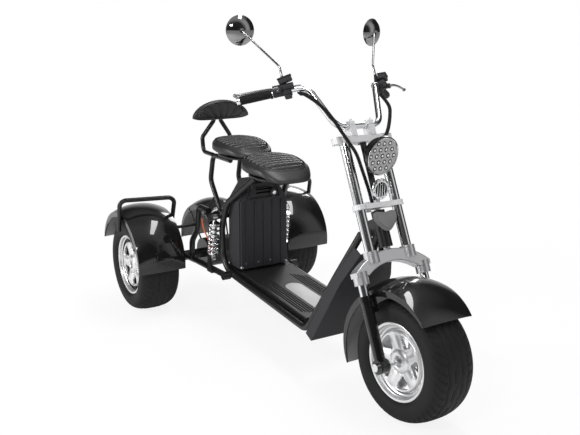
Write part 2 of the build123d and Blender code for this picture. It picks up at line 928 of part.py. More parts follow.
def light_arm(place, depth):
    tilt = radians(rake_deg)
    back = (place * Pos(-depth - seat_gap, 0, 0)).position
    facing = place.x_axis.direction
    forward = (back.X - wheelbase) * cos(tilt) + (back.Z - tyre_radius) * sin(tilt)
    reach = forward - light_strap_back - light_strap_thickness / 2
    return rod(back, back - facing * (reach / (facing.X * cos(tilt) + facing.Z * sin(tilt))), light_arm_diameter)


def light_plate():
    low = mid_clamp_height + mid_clamp_thickness / 2 + stem_nut_height + seat_gap
    high = crown_height - crown_thickness / 2 - seat_gap
    half = light_strap_width / 2
    front = light_strap_back + light_strap_thickness
    strap = block(light_strap_back, front, -half, half, low, high)
    foot = block(front - light_strap_foot, front, -half, half, low, low + light_strap_thickness)
    head = block(front - light_strap_foot, front, -half, half, high - light_strap_thickness, high)
    arms = light_arm(headlight_place(), headlight_depth) + light_arm(horn_place(), horn_depth)
    return fork_frame() * (strap + foot + head) + arms


# Looms, drawn in the steering frame
def loom_arcs(points):
    corners = [Vector(*point) for point in points]
    radii = []
    for before, corner, after in zip(corners, corners[1:], corners[2:]):
        turn = radians((corner - before).get_angle(after - corner)) / 2
        run = min((corner - before).length, (after - corner).length)
        radii.append(loom_run_share * run * cos(turn) / sin(turn))
    print("loom radii", [round(radius) for radius in radii])
    return radii


def loom(points, diameter):
    return bent_tube(points, diameter, loom_arcs(points))


def switch_outlet(up, back, along):
    start = grip_length + control_gap + control_length
    return bar_end_frame().from_local_coords(Vector(up, back, start + along))


def cable_looms():
    leads = [switch_outlet(-switch_box / 2, 0, switch_length + seat_gap + lead) for lead in (0, hose_lead)]
    hose = loom([*[(x, -y, z) for x, y, z in leads], *hose_route], hose_diameter)
    right = loom(right_loom_route, loom_diameter) + hose - bar_tube(bar_diameter + 2 * seat_gap)
    low = -switch_box / 2 - switch_drop - seat_gap
    leads = [switch_outlet(low - lead, -switch_box / 4, switch_length / 2) for lead in (0, loom_lead)]
    left = fork_frame() * loom([*leads, *left_loom_route], loom_diameter)
    behind = headlight_place() * x_ring(headlight_diameter / 2, 0, -headlight_depth - seat_gap, cut_over)
    return Compound([*(fork_frame() * right).solids(), *(left - behind).solids()])


# Rails, head frame, leg shield and floor
def rail_points():
    return [
        (rail_seat_x, rail_seat_half, rail_seat_z),
        (rail_knee_x, rail_half, rail_knee_z),
        (rail_waist_x, rail_half, rail_waist_z),
        (rail_heel_x, rail_half, rail_heel_z),
        (rail_toe_x, rail_half, rail_toe_z),
        (rail_chest_x, rail_chest_half, rail_chest_z),
        (rail_head_x, rail_head_half, rail_head_z),
    ]


def side_rail(extra=0):
    bends = [rail_bend_large, rail_bend_large, rail_bend_large, rail_bend_small, rail_bend_large]
    top = driver_seat_z - pan_thickness - 2 * seat_gap
    above = block(0, wheelbase, 0, rear_track, top, top + rail_seat_rise + rail_diameter)
    return bent_tube(rail_points(), rail_diameter + 2 * extra, bends) - above


def shield_frame(depth):
    run = Vector(rail_head_x - rail_toe_x, 0, rail_head_z - rail_toe_z).normalized()
    normal = Vector(run.Z, 0, -run.X)
    start = Vector(rail_toe_x, 0, rail_toe_z) + normal * (rail_diameter / 2 + seat_gap + depth)
    return Plane(start, x_dir=(0, 1, 0), z_dir=normal)


def shield_outline(inset):
    half = rail_half + rail_diameter / 2 - inset
    knee = shield_knee_half - inset
    top = shield_top_half - inset
    side = [(-half, 0), (-knee, shield_knee), (-top, shield_length)]
    return side + [(-y, t) for y, t in reversed(side)]


def leg_shield():
    outer = extrude(shield_frame(0) * make_face(Polyline(*shield_outline(0), close=True)), amount=shield_depth)
    inner = shield_frame(-cut_over) * make_face(Polyline(*shield_outline(shield_wall), close=True))
    shape = outer - extrude(inner, amount=shield_depth - shield_wall + cut_over)
    rail = side_rail(seat_gap)
    return shape - rail - mirrored(rail)


def floor_line(x):
    share = (x - floor_rear_x) / (mat_front_x - floor_rear_x)
    return floor_rear_z + (floor_front_z - floor_rear_z) * share


def floor_half():
    return rail_half - rail_diameter / 2 - seat_gap


def floor_pan():
    corners = [
        (floor_rear_x, floor_line(floor_rear_x)),
        (mat_front_x, floor_line(mat_front_x)),
        (mat_front_x, floor_line(mat_front_x) - floor_thickness),
        (floor_rear_x, floor_line(floor_rear_x) - floor_thickness),
    ]
    return prism(corners, -floor_half(), floor_half())


def strip(x_low, x_high, bottom, top, y_low, y_high):
    corners = [
        (x_low, floor_line(x_low) + bottom),
        (x_high, floor_line(x_high) + bottom),
        (x_high, floor_line(x_high) + top),
        (x_low, floor_line(x_low) + top),
    ]
    return prism(corners, y_low, y_high)


def floor_mat():
    shape = strip(mat_rear_x, mat_front_x, 0, mat_thickness, -floor_half(), floor_half())
    for k in range(mat_rib_count):
        y = mat_first_rib + k * mat_rib_pitch
        rib = strip(mat_rear_x, mat_front_x, mat_thickness / 2, mat_thickness + mat_rib_height, y, y + mat_rib_width)
        shape = shape + rib + mirrored(rib)
    return shape


def floor_pad():
    top = mat_thickness + pad_thickness
    return strip(pad_front_x - pad_length, pad_front_x, mat_thickness, top, -pad_half_width, pad_half_width)


def head_frame():
    low, high = (0, 0, head_tube_low), (0, 0, head_tube_high)
    tube = rod(low, high, 2 * head_tube_radius)
    gusset = block(-head_tube_radius - gusset_depth, 0, -rail_head_half / 2, rail_head_half / 2, gusset_low, gusset_high)
    head = fork_frame() * (tube + gusset)
    frame = shield_frame(shield_depth - shield_wall - seat_gap - spine_diameter / 2)
    start = frame.from_local_coords(Vector(0, spine_diameter, 0))
    bend = frame.from_local_coords(Vector(0, shield_length - spine_diameter, 0))
    x, z = fork_point(0, (gusset_low + gusset_high) / 2)
    spine = bent_tube([start, bend, (x, 0, z)], spine_diameter, spine_diameter * 2)
    bore = fork_frame() * Pos(0, 0, mid_clamp_height / 2) * Cylinder(stem_radius + pin_gap, 2 * mid_clamp_height)
    return head + spine - bore


def head_cover_outline(margin):
    half = head_cover_width / 2 - margin
    top = head_tube_high - head_cover_drop - margin
    point = head_tube_high - head_cover_drop - head_cover_height + margin * head_cover_height / head_cover_width
    shoulder = (top + point) / 2
    corners = [(0, top - head_cover_dip), (half, top), (half, shoulder), (0, point), (-half, shoulder), (-half, top)]
    face = make_face(Polyline(*corners, close=True))
    return fillet(face.vertices(), head_cover_corner)


def head_cover():
    front = head_tube_radius + head_cover_thickness
    plate = extrude(Plane.YZ * head_cover_outline(0), amount=front)
    plate = fillet(plate.faces().sort_by(Axis.X)[-1].edges(), head_cover_inlay)
    inlay = extrude(Plane.YZ * head_cover_outline(head_cover_margin), amount=front + head_cover_inlay)
    bore = Cylinder(head_tube_radius + seat_gap, 2 * head_tube_high)
    return fork_frame() * (plate + inlay - bore)


# Battery case
def case_outline(inset, bottom):
    side = [(-case_half + inset, bottom), (-case_half + inset, case_shoulder_z), (-case_top_half + inset, case_top_z - inset)]
    return side + [(-y, z) for y, z in reversed(side)]


def case_prism(inset, bottom, x_low, x_high):
    face = make_face(Polyline(*[(x_low, y, z) for y, z in case_outline(inset, bottom)], close=True))
    return extrude(face, amount=x_high - x_low, dir=(1, 0, 0))


def handle_pocket(extra):
    return block(
        case_front_x - handle_depth,
        case_front_x + 2 * cover_thickness,
        -handle_width / 2 - extra,
        handle_width / 2 + extra,
        handle_z - handle_height / 2 - extra,
        handle_z + handle_height / 2 + extra,
    )


def battery_case():
    bottom = floor_line(floor_rear_x) + seat_gap
    shape = case_prism(0, bottom, case_back_x, case_front_x) - handle_pocket(0)
    rail = side_rail(seat_gap)
    return shape - rail - mirrored(rail)


def battery_cover():
    bottom = floor_line(floor_rear_x) + seat_gap
    low_x, high_x = case_front_x + seat_gap, case_front_x + seat_gap + cover_thickness - cover_rib
    shape = case_prism(cover_margin, bottom, low_x, high_x)
    pitch = 2 * (case_half - 2 * cover_margin) / cover_rib_count
    for k in range(cover_rib_count):
        y = (k - (cover_rib_count - 1) / 2) * pitch
        shape += block(
            low_x, high_x + cover_rib, y - cover_rib_width / 2, y + cover_rib_width / 2, bottom, case_shoulder_z - cover_rib
        )
    shape -= handle_pocket(0)
    bar = block(
        low_x, high_x, -handle_width / 2 - cut_over, handle_width / 2 + cut_over, handle_z - handle_bar / 2, handle_z + handle_bar / 2
    )
    return shape + bar


# Seats and backrest
def cushion(length, width, height, x, z):
    corner = width * seat_corner_share
    plan = Pos(x, 0, z) * RectangleRounded(length, width, corner)
    shape = extrude(plan, amount=height)
    return fillet(shape.faces().sort_by(Axis.Z)[-1].edges(), seat_edge)


def seat_pan(length, width, x, z):
    corner = width * seat_corner_share * pan_share
    plan = Pos(x, 0, z - pan_thickness - seat_gap) * RectangleRounded(length * pan_share, width * pan_share, corner)
    return extrude(plan, amount=pan_thickness)


def backrest_pad():
    half = backrest_width / 2
    x = backrest_x - backrest_depth / 2
    top = ThreePointArc((x, -half, backrest_z), (x, 0, backrest_z + backrest_height), (x, half, backrest_z))
    face = make_face([top, Line((x, half, backrest_z), (x, -half, backrest_z))])
    return extrude(face, amount=backrest_depth, dir=(1, 0, 0))


def backrest_frame():
    back = backrest_x - backrest_depth / 2 - strut_diameter / 2 - seat_gap
    under = post_level()
    low_bend = strut_diameter * strut_bend_share
    half = bent_tube(
        [
            (back, strut_top_half, backrest_z + backrest_height / 2),
            (back - strut_diameter / 2, strut_top_half, backrest_z - strut_diameter / 2),
            (strut_low_x, post_half, strut_low_z),
            (strut_foot_x, post_half, under),
            (post_top_rear_x, post_half, under),
        ],
        strut_diameter,
        [strut_diameter, low_bend, low_bend],
    )
    return pair(half - rear_post(seat_gap))


# Rear frame, suspension and guards
def post_level():
    return passenger_seat_z - 2 * seat_gap - pan_thickness - frame_tube / 2


def rear_post(extra):
    bend = 2 * frame_tube
    points = [
        (post_top_front_x, post_half, post_level()),
        (post_top_rear_x, post_half, post_level()),
        (post_back_x, post_half, post_back_z),
        (post_low_x, post_half, post_low_z),
        (cross_x, post_half, cross_z),
    ]
    return bent_tube(points, frame_tube + 2 * extra, bend)


def rear_frame():
    cross = rod((cross_x, -cross_half, cross_z), (cross_x, cross_half, cross_z), frame_tube)
    stay_end = (rail_waist_x + rail_diameter / 2, rail_half, cross_z)
    stay = rod((cross_x, rail_half, cross_z), stay_end, strut_diameter)
    ear_low = shock_half + shock_eye_length / 2 + seat_gap
    pin_ends = [(shock_top_x, y, shock_top_z) for y in (shock_half - shock_eye_length / 2, ear_low + frame_tube / 4)]
    pin = rod(*pin_ends, 2 * shock_pin_radius)
    ear = prism(
        [
            (cross_x, cross_z - frame_tube / 2),
            (shock_top_x, shock_top_z - shock_eye_radius),
            (shock_top_x + shock_eye_radius, shock_top_z),
            (shock_top_x, shock_top_z + shock_eye_radius),
            (cross_x, cross_z + frame_tube / 2),
        ],
        ear_low,
        ear_low + frame_tube / 4,
    )
    half = rear_post(0) + ear + pin + stay - side_rail(seat_gap)
    return half + mirrored(half) + cross


def swing_arm():
    hoop = bent_tube(
        [
            (swing_front_x, swing_half, swing_front_z),
            (hoop_low_x, swing_half, hoop_low_z),
            (hoop_knee_x, swing_half, hoop_knee_z),
            (hoop_neck_x, swing_half, hoop_neck_z),
            (hoop_top_x, swing_half, hoop_top_z),
            (hoop_end_x, swing_half, hoop_top_z),
        ],
        swing_tube,
        [hoop_bend_small, hoop_bend_large, hoop_bend_large, hoop_bend_small],
    )
    link = rod((hoop_low_x + hoop_bend_small, swing_half, hoop_low_z), (0, swing_half, tyre_radius), swing_tube)
    stay_radius = fender_edge_radius + fender_stay / 2
    stay_x, stay_z = stay_radius * cos(radians(fender_stay_deg)), stay_radius * sin(radians(fender_stay_deg))
    stay_end = rear_track / 2 + rear_fender_offset - fender_half_width - seat_gap
    stay = rod((stay_x, swing_half, tyre_radius + stay_z), (stay_x, stay_end, tyre_radius + stay_z), fender_stay)
    pivot_low = rail_half + rail_diameter / 2 + seat_gap
    pivot_high = swing_half + swing_tube / 2 + swing_pivot_overhang
    pivot = Pos(swing_front_x, 0, swing_front_z) * y_ring(swing_pivot_radius, 0, pivot_low, pivot_high)
    axle_end = rear_track / 2 + rim_width / 2 - dish_depth + axle_nut_length
    housing = y_ring(axle_housing_radius, 0, -axle_housing_half, axle_housing_half)
    motor = y_ring(motor_radius, 0, -motor_half, motor_half)
    axle = y_ring(axle_radius, 0, -axle_end, axle_end)
    share = (shock_foot_x - hoop_low_x) / (swing_front_x - hoop_low_x)
    tube_z = hoop_low_z + (swing_front_z - hoop_low_z) * share
    ear_low = shock_half + shock_eye_length / 2 + seat_gap
    ear = prism(
        [
            (shock_foot_x - 2 * shock_eye_radius, tube_z),
            (shock_foot_x + 2 * shock_eye_radius, tube_z),
            (shock_foot_x + shock_eye_radius, shock_foot_z + shock_eye_radius),
            (shock_foot_x - shock_eye_radius, shock_foot_z + shock_eye_radius),
        ],
        ear_low,
        ear_low + frame_tube / 4,
    )
    foot = block(
        shock_foot_x - 2 * shock_eye_radius,
        shock_foot_x + 2 * shock_eye_radius,
        swing_half,
        ear_low + frame_tube / 4,
        tube_z - swing_tube / 4,
        tube_z + swing_tube / 4,
    )
    pin_ends = [(shock_foot_x, y, shock_foot_z) for y in (shock_half - shock_eye_length / 2, ear_low + frame_tube / 4)]
    pin = rod(*pin_ends, 2 * shock_pin_radius)
    arm = hoop + link + stay + pivot + ear + foot + pin
    return Pos(0, 0, tyre_radius) * (housing + motor + axle) + arm + mirrored(arm)


def shock():
    top = Vector(shock_top_x, shock_half, shock_top_z)
    foot = Vector(shock_foot_x, shock_half, shock_foot_z)
    run = top - foot
    length = run.length
    frame = Plane(foot, x_dir=(0, 1, 0), z_dir=run)
    rod_part = frame * Pos(0, 0, length / 2) * Cylinder(shock_rod_radius, length)
    body_middle = length * (1 - shock_seat_share - shock_body_share / 2)
    body = frame * Pos(0, 0, body_middle) * Cylinder(shock_body_radius, length * shock_body_share)
    seats = None
    for place in (shock_seat_share, 1 - shock_seat_share):
        seat = frame * Pos(0, 0, length * place) * Cylinder(coil_radius + coil_wire_radius, coil_wire_radius)
        seats = seat if seats is None else seats + seat
    coil_length = length * coil_share
    helix = Helix(pitch=coil_length / coil_turns, height=coil_length, radius=coil_radius)
    wire = sweep(Plane(helix @ 0, z_dir=helix % 0) * Circle(coil_wire_radius), path=helix, is_frenet=True)
    coil = frame * Pos(0, 0, length * (1 - coil_share) / 2) * wire
    eyes = None
    for centre in (top, foot):
        eye = Pos(centre.X, centre.Y, centre.Z) * y_ring(
            shock_eye_radius, shock_pin_radius + seat_gap, -shock_eye_length / 2, shock_eye_length / 2
        )
        eyes = eye if eyes is None else eyes + eye
    hole = None
    for centre in (top, foot):
        pin = Pos(centre.X, centre.Y, centre.Z) * y_ring(shock_pin_radius + seat_gap, 0, -shock_eye_length, shock_eye_length)
        hole = pin if hole is None else hole + pin
    return rod_part + body + seats + coil + eyes - hole


def guard_tube_loop():
    reach = fender_half_width + seat_gap + guard_tube / 2
    outer = rear_track / 2 + rear_fender_offset + reach
    inner = rear_track / 2 + rear_fender_offset - reach
    points = [
        (guard_outer_x, outer, guard_outer_z),
        (guard_rear_x, outer, guard_top_z),
        (guard_front_x, inner, guard_top_z),
        (0, inner, tyre_radius),
    ]
    housing = Pos(0, 0, tyre_radius) * y_ring(axle_housing_radius + seat_gap, 0, 0, rear_track)
    return bent_tube(points, guard_tube, guard_bend) - housing


# Writing the pieces
def main():
    os.makedirs("parts", exist_ok=True)
    front = Pos(wheelbase, 0, tyre_radius)
    wheel_places = {
        "front": (front, -1),
        "rear_left": (Pos(0, rear_track / 2, tyre_radius), 1),
        "rear_right": (Pos(0, -rear_track / 2, tyre_radius), -1),
    }
    pieces = {}
    for name, (place, side) in wheel_places.items():
        pieces[name + "_tyre"] = place * tyre()
        pieces[name + "_rim"] = place * on_side(rim(), side)
    pieces["front_disc"] = front * on_side(brake_disc(), -1)
    for name in ("front_tyre", "front_rim", "front_disc"):
        pieces[name] = level_steered(pieces[name])
    pieces["front_fender"] = level_steered(front * fender(front_fender_start_deg, front_fender_end_deg))
    pieces["front_axle"] = level_steered(front * front_axle())
    pieces["fork_tubes"] = steered(Compound([*fork_tubes().solids(), *stanchions().solids()]))
    pieces["fork_bridge"] = steered(fork_bridge())
    pieces["mid_clamp"] = steered(mid_clamp())
    pieces["top_crown"] = steered(top_crown())
    pieces["sliders"] = steered(sliders())
    pieces["front_caliper"] = steered(front_caliper())
    pieces["handlebar"] = steered(handlebar())
    pieces["grips"] = steered(pair(bar_sleeve(0, grip_length, grip_diameter)))
    pieces["light_plate"] = level_steered(light_plate())
    pieces["cable_looms"] = level_steered(cable_looms())
    shell, lens = headlight()
    pieces["headlight"] = level_steered(headlight_place() * shell)
    pieces["headlight_lens"] = level_steered(headlight_place() * lens)
    pieces["horn"] = level_steered(horn_place() * horn())
    arm = mirror_arm()
    head, glass = mirror_head()
    for side, word in ((1, "left"), (-1, "right")):
        pieces["controls_" + word] = steered(on_side(controls(), side))
        pieces["mirror_" + word] = level_steered(
            on_side(fork_frame() * arm + mirror_face_frame() * head, side)
        )
        pieces["side_rail_" + word] = on_side(side_rail(), side)
        pieces["shock_" + word] = on_side(shock(), side)
        rear = Pos(0, rear_track / 2 + rear_fender_offset, tyre_radius)
        pieces["rear_fender_" + word] = on_side(rear * fender(rear_fender_start_deg, rear_fender_end_deg), side)
        pieces["guard_tube_" + word] = on_side(guard_tube_loop(), side)
    pieces["mirror_glasses"] = level_steered(pair(mirror_face_frame() * glass))
    pieces["head_frame"] = head_frame()
    pieces["head_cover"] = head_cover()
    pieces["leg_shield"] = leg_shield()
    pieces["floor_pan"] = floor_pan()
    pieces["floor_mat"] = floor_mat()
    pieces["floor_pad"] = floor_pad()
    pieces["battery_case"] = battery_case()
    pieces["battery_cover"] = battery_cover()
    driver = (driver_seat_x, driver_seat_z)
    pieces["driver_seat"] = cushion(driver_seat_length, driver_seat_width, driver_seat_height, *driver)
    passenger = (passenger_seat_x, passenger_seat_z)
    pieces["passenger_seat"] = cushion(passenger_seat_length, passenger_seat_width, passenger_seat_height, *passenger)
    pieces["seat_pans"] = Compound(
        [
            *seat_pan(driver_seat_length, driver_seat_width, *driver).solids(),
            *seat_pan(passenger_seat_length, passenger_seat_width, *passenger).solids(),
        ]
    )
    pieces["backrest_pad"] = backrest_pad()
    pieces["backrest_frame"] = backrest_frame()
    pieces["rear_frame"] = rear_frame()
    pieces["swing_arm"] = swing_arm()
    for name, shape in pieces.items():
        export_step(Pos(-wheelbase / 2, 0, 0) * shape, os.path.join("parts", name + ".step"))


main()
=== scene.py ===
"""Looks of a fat-tyred electric trike: finishes, tyres, seats, shells and small fittings around its frame."""
import json
import logging
import math
from dataclasses import dataclass, field
from enum import Enum
from typing import Callable, Iterable, Sequence

import bmesh
import bpy
from mathutils import Matrix, Vector


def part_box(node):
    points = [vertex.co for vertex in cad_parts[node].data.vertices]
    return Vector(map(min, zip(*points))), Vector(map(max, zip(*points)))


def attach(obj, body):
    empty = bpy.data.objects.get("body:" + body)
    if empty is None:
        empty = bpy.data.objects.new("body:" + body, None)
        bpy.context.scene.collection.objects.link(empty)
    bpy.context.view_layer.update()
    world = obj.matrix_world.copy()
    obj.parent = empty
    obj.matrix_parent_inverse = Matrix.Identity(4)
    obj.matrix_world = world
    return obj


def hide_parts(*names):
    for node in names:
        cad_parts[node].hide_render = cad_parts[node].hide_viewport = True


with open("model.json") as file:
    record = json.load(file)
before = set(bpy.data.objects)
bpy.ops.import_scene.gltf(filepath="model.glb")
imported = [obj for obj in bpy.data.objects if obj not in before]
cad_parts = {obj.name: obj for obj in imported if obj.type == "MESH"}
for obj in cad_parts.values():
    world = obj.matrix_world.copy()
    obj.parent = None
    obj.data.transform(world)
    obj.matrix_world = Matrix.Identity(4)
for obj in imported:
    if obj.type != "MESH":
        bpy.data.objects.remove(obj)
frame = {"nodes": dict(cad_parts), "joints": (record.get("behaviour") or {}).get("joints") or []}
LOG = logging.getLogger("trike")
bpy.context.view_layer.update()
MM = 0.001
MERGE = 1e-6

# A crease angle in degrees that no edge reaches
SEAMLESS = 180.0


class Body(Enum):
    """The moving groups that pieces ride on."""

    CHASSIS = "chassis"
    STEERING = "steering"
    FRONT = "front_wheel"
    REAR_LEFT = "rear_left_wheel"
    REAR_RIGHT = "rear_right_wheel"


# Shader building


class Signal:
    """A socket's value that takes part in sums, each of which adds a Math node."""

    def __init__(self, graph: "Graph", socket: bpy.types.NodeSocket) -> None:
        """Wraps an output socket of a graph."""
        self.graph = graph
        self.socket = socket

    def math(self, operation: str, *others: "Signal | float") -> "Signal":
        """Adds one Math node.

        Args:
            operation: the node's operation.
            others: the further operands, numbers or signals.

        Returns:
            The node's result.
        """
        inputs = {k: value for k, value in enumerate((self, *others))}
        return self.graph.node("ShaderNodeMath", {"operation": operation}, inputs)[0]

    def __add__(self, other: "Signal | float") -> "Signal":
        """Sum."""
        return self.math("ADD", other)

    def __sub__(self, other: "Signal | float") -> "Signal":
        """Difference."""
        return self.math("SUBTRACT", other)

    def __rsub__(self, other: float) -> "Signal":
        """Difference from a number."""
        return (self * -1.0) + other

    def __mul__(self, other: "Signal | float") -> "Signal":
        """Product."""
        return self.math("MULTIPLY", other)

    __radd__ = __add__
    __rmul__ = __mul__


class Outputs:
    """A node's outputs, by place or name, as signals."""

    def __init__(self, graph: "Graph", node: bpy.types.Node) -> None:
        """Keeps the node."""
        self.graph = graph
        self.node = node

    def __getitem__(self, key: "int | str") -> Signal:
        """One output as a signal."""
        return Signal(self.graph, self.node.outputs[key])


class Graph:
    """One material's or world's node tree."""

    def __init__(self, owner: "bpy.types.Material | bpy.types.World") -> None:
        """Empties the owner's tree.

        Args:
            owner: the material or world that the nodes belong to.
        """
        owner.use_nodes = True
        self.tree = owner.node_tree
        self.tree.nodes.clear()

    def node(self, kind: str, settings: dict | None = None, inputs: dict | None = None) -> Outputs:
        """Adds one node.

        Args:
            kind: the node's type.
            settings: its properties; stops gives a ramp's (place, grey or colour) stops.
            inputs: numbers, colours or signals by socket name or place.

        Returns:
            The node's outputs.
        """
        made = self.tree.nodes.new(kind)
        for key, value in (settings or {}).items():
            if key == "stops":
                self._stops(made.color_ramp, value)
            else:
                setattr(made, key, value)
        for key, value in (inputs or {}).items():
            if isinstance(value, Signal):
                self.tree.links.new(value.socket, made.inputs[key])
            else:
                made.inputs[key].default_value = value
        return Outputs(self, made)

    @staticmethod
    def _stops(ramp: bpy.types.ColorRamp, stops: Sequence[tuple]) -> None:
        """Sets a ramp's stops from (place, grey) or (place, colour) pairs.

        Args:
            ramp: a new ramp.
            stops: its stops in order.
        """
        while len(ramp.elements) < len(stops):
            ramp.elements.new(1.0)
        for element, (place, colour) in zip(ramp.elements, stops):
            element.position = place
            element.color = (colour,) * 3 + (1.0,) if isinstance(colour, float) else colour

    def place(self) -> Signal:
        """The point on the piece in metres."""
        return self.node("ShaderNodeTexCoord")["Object"]

    def noise(self, size: float, detail: float = 3.0) -> Signal:
        """Smooth noise over the piece.

        Args:
            size: the size of its blobs in metres.
            detail: the number of finer octaves.

        Returns:
            A value about 0.5.
        """
        inputs = {"Vector": self.place(), "Scale": 1 / size, "Detail": detail}
        return self.node("ShaderNodeTexNoise", {}, inputs)[0]

    def along(self, vector: Signal, axis: Sequence[float]) -> Signal:
        """How far a vector reaches along an axis."""
        return self.node("ShaderNodeVectorMath", {"operation": "DOT_PRODUCT"}, {0: vector, 1: axis})["Value"]

    def ramp(self, value: Signal, stops: Sequence[tuple]) -> Signal:
        """A colour ramp over a value."""
        return self.node("ShaderNodeValToRGB", {"stops": stops}, {0: value})[0]

    def mix(self, share: "Signal | float", low: "tuple | Signal", high: "tuple | Signal") -> Signal:
        """A mix of two colours by a share from 0 to 1."""
        return self.node("ShaderNodeMix", {"data_type": "RGBA"}, {0: share, 6: low, 7: high})[2]

    def bump(self, height: Signal, depth: float) -> Signal:
        """A bump of a height from 0 to 1, its depth in metres."""
        return self.node("ShaderNodeBump", {}, {"Height": height, "Distance": depth, "Strength": 1.0})[0]

    def surface(self, **sockets: object) -> None:
        """Ends the tree in a Principled shader; a socket's name has _ for its spaces."""
        inputs = {key.replace("_", " "): value for key, value in sockets.items()}
        shader = self.node("ShaderNodeBsdfPrincipled", {}, inputs)
        self.node("ShaderNodeOutputMaterial", {}, {"Surface": shader[0]})


def grey(level: float) -> tuple:
    """A neutral colour."""
    return (level, level, level, 1.0)


# Finishes


@dataclass(frozen=True)
class Finish:
    """A surface with mottled colour and roughness and a fine relief.

    Attributes:
        name: the material's name.
        low, high: its colours in the darker and lighter patches.
        rough, rough_range: the mean roughness and how far it wanders.
        metal: 1 for bare metal.
        shine: the strength of the bare surface's reflection.
        coat, coat_rough: the clear coat's weight and roughness.
        patch: the size of the patches in metres.
        finer: how many times finer the wear in them is.
        grain, relief: the size and depth of the relief in metres.
        octaves: how detailed the wear and the relief are.
    """

    name: str
    low: tuple
    high: tuple
    rough: float
    rough_range: float = 0.08
    metal: float = 0.0
    shine: float = 0.5
    coat: float = 0.0
    coat_rough: float = 0.03
    patch: float = 0.06
    finer: float = 8.0
    grain: float = 0.0012
    relief: float = 0.00004
    octaves: float = 4.0

    def build(self) -> bpy.types.Material:
        """The material, made once."""
        found = bpy.data.materials.get(self.name)
        return found or self._dress(bpy.data.materials.new(self.name))

    def _dress(self, material: bpy.types.Material) -> bpy.types.Material:
        """Gives the material its nodes.

        Args:
            material: a new material.

        Returns:
            The same material.
        """
        graph = Graph(material)
        patches = graph.noise(self.patch)
        graph.surface(
            Base_Color=self.tint(graph, patches),
            Roughness=self.gloss(graph, patches),
            Metallic=self.metal,
            Specular_IOR_Level=self.shine,
            Coat_Weight=self.coat,
            Coat_Roughness=self.coat_rough,
            Normal=self.normal(graph),
        )
        return material

    def tint(self, graph: Graph, patches: Signal) -> Signal:
        """The colour over the surface."""
        return graph.mix(patches, self.low, self.high)

    def gloss(self, graph: Graph, patches: Signal) -> Signal:
        """The roughness over the surface, with fine wear in it."""
        wear = graph.noise(self.patch / self.finer, self.octaves)
        return (patches * 0.5 + wear * 0.5 - 0.5) * (2 * self.rough_range) + self.rough

    def normal(self, graph: Graph) -> Signal:
        """The fine relief."""
        return graph.bump(graph.noise(self.grain, self.octaves), self.relief)


@dataclass(frozen=True)
class SewnWithPaintedShade(Finish):
    """A cover that is duller down in its sewn channels and has painted shade there, as the piece's own
    attribute says.

    Attributes:
        depth: how much the channels take on of the painted shade.
        shade: the painted shade's grey in the channels.
        dull: how much rougher they are.
    """

    depth: float = 0.85
    shade: float = 0.001
    dull: float = 0.5

    def channels(self, graph: Graph) -> Signal:
        """How far down in a channel the surface is, from 0 to 1."""
        return graph.node("ShaderNodeAttribute", {"attribute_name": "sewn"})["Fac"] * self.depth

    def tint(self, graph: Graph, patches: Signal) -> Signal:
        """The colour over the surface, with painted shade in the channels."""
        return graph.mix(self.channels(graph), super().tint(graph, patches), grey(self.shade))

    def gloss(self, graph: Graph, patches: Signal) -> Signal:
        """The roughness over the surface."""
        return super().gloss(graph, patches) + self.channels(graph) * self.dull


@dataclass(frozen=True)
class SoftBox:
    """A rectangular lamp that aims at the object, in metres and watts.

    Attributes:
        name: the lamp's name.
        place, aim: where it hangs, and the point that it faces.
        width, height: its size.
        power: its power.
    """

    name: str
    place: tuple
    width: float
    height: float
    power: float
    aim: tuple = (0.0, 0.0, 0.5)

    def build(self) -> None:
        """Hangs the lamp."""
        data = bpy.data.lights.new(self.name, "AREA")
        data.shape = "RECTANGLE"
        data.size, data.size_y, data.energy = self.width, self.height, self.power
        lamp = bpy.data.objects.new(self.name, data)
        bpy.context.scene.collection.objects.link(lamp)
        lamp.location = self.place
        lamp.rotation_mode = "QUATERNION"
        lamp.rotation_quaternion = (Vector(self.aim) - Vector(self.place)).to_track_quat("-Z", "Y")


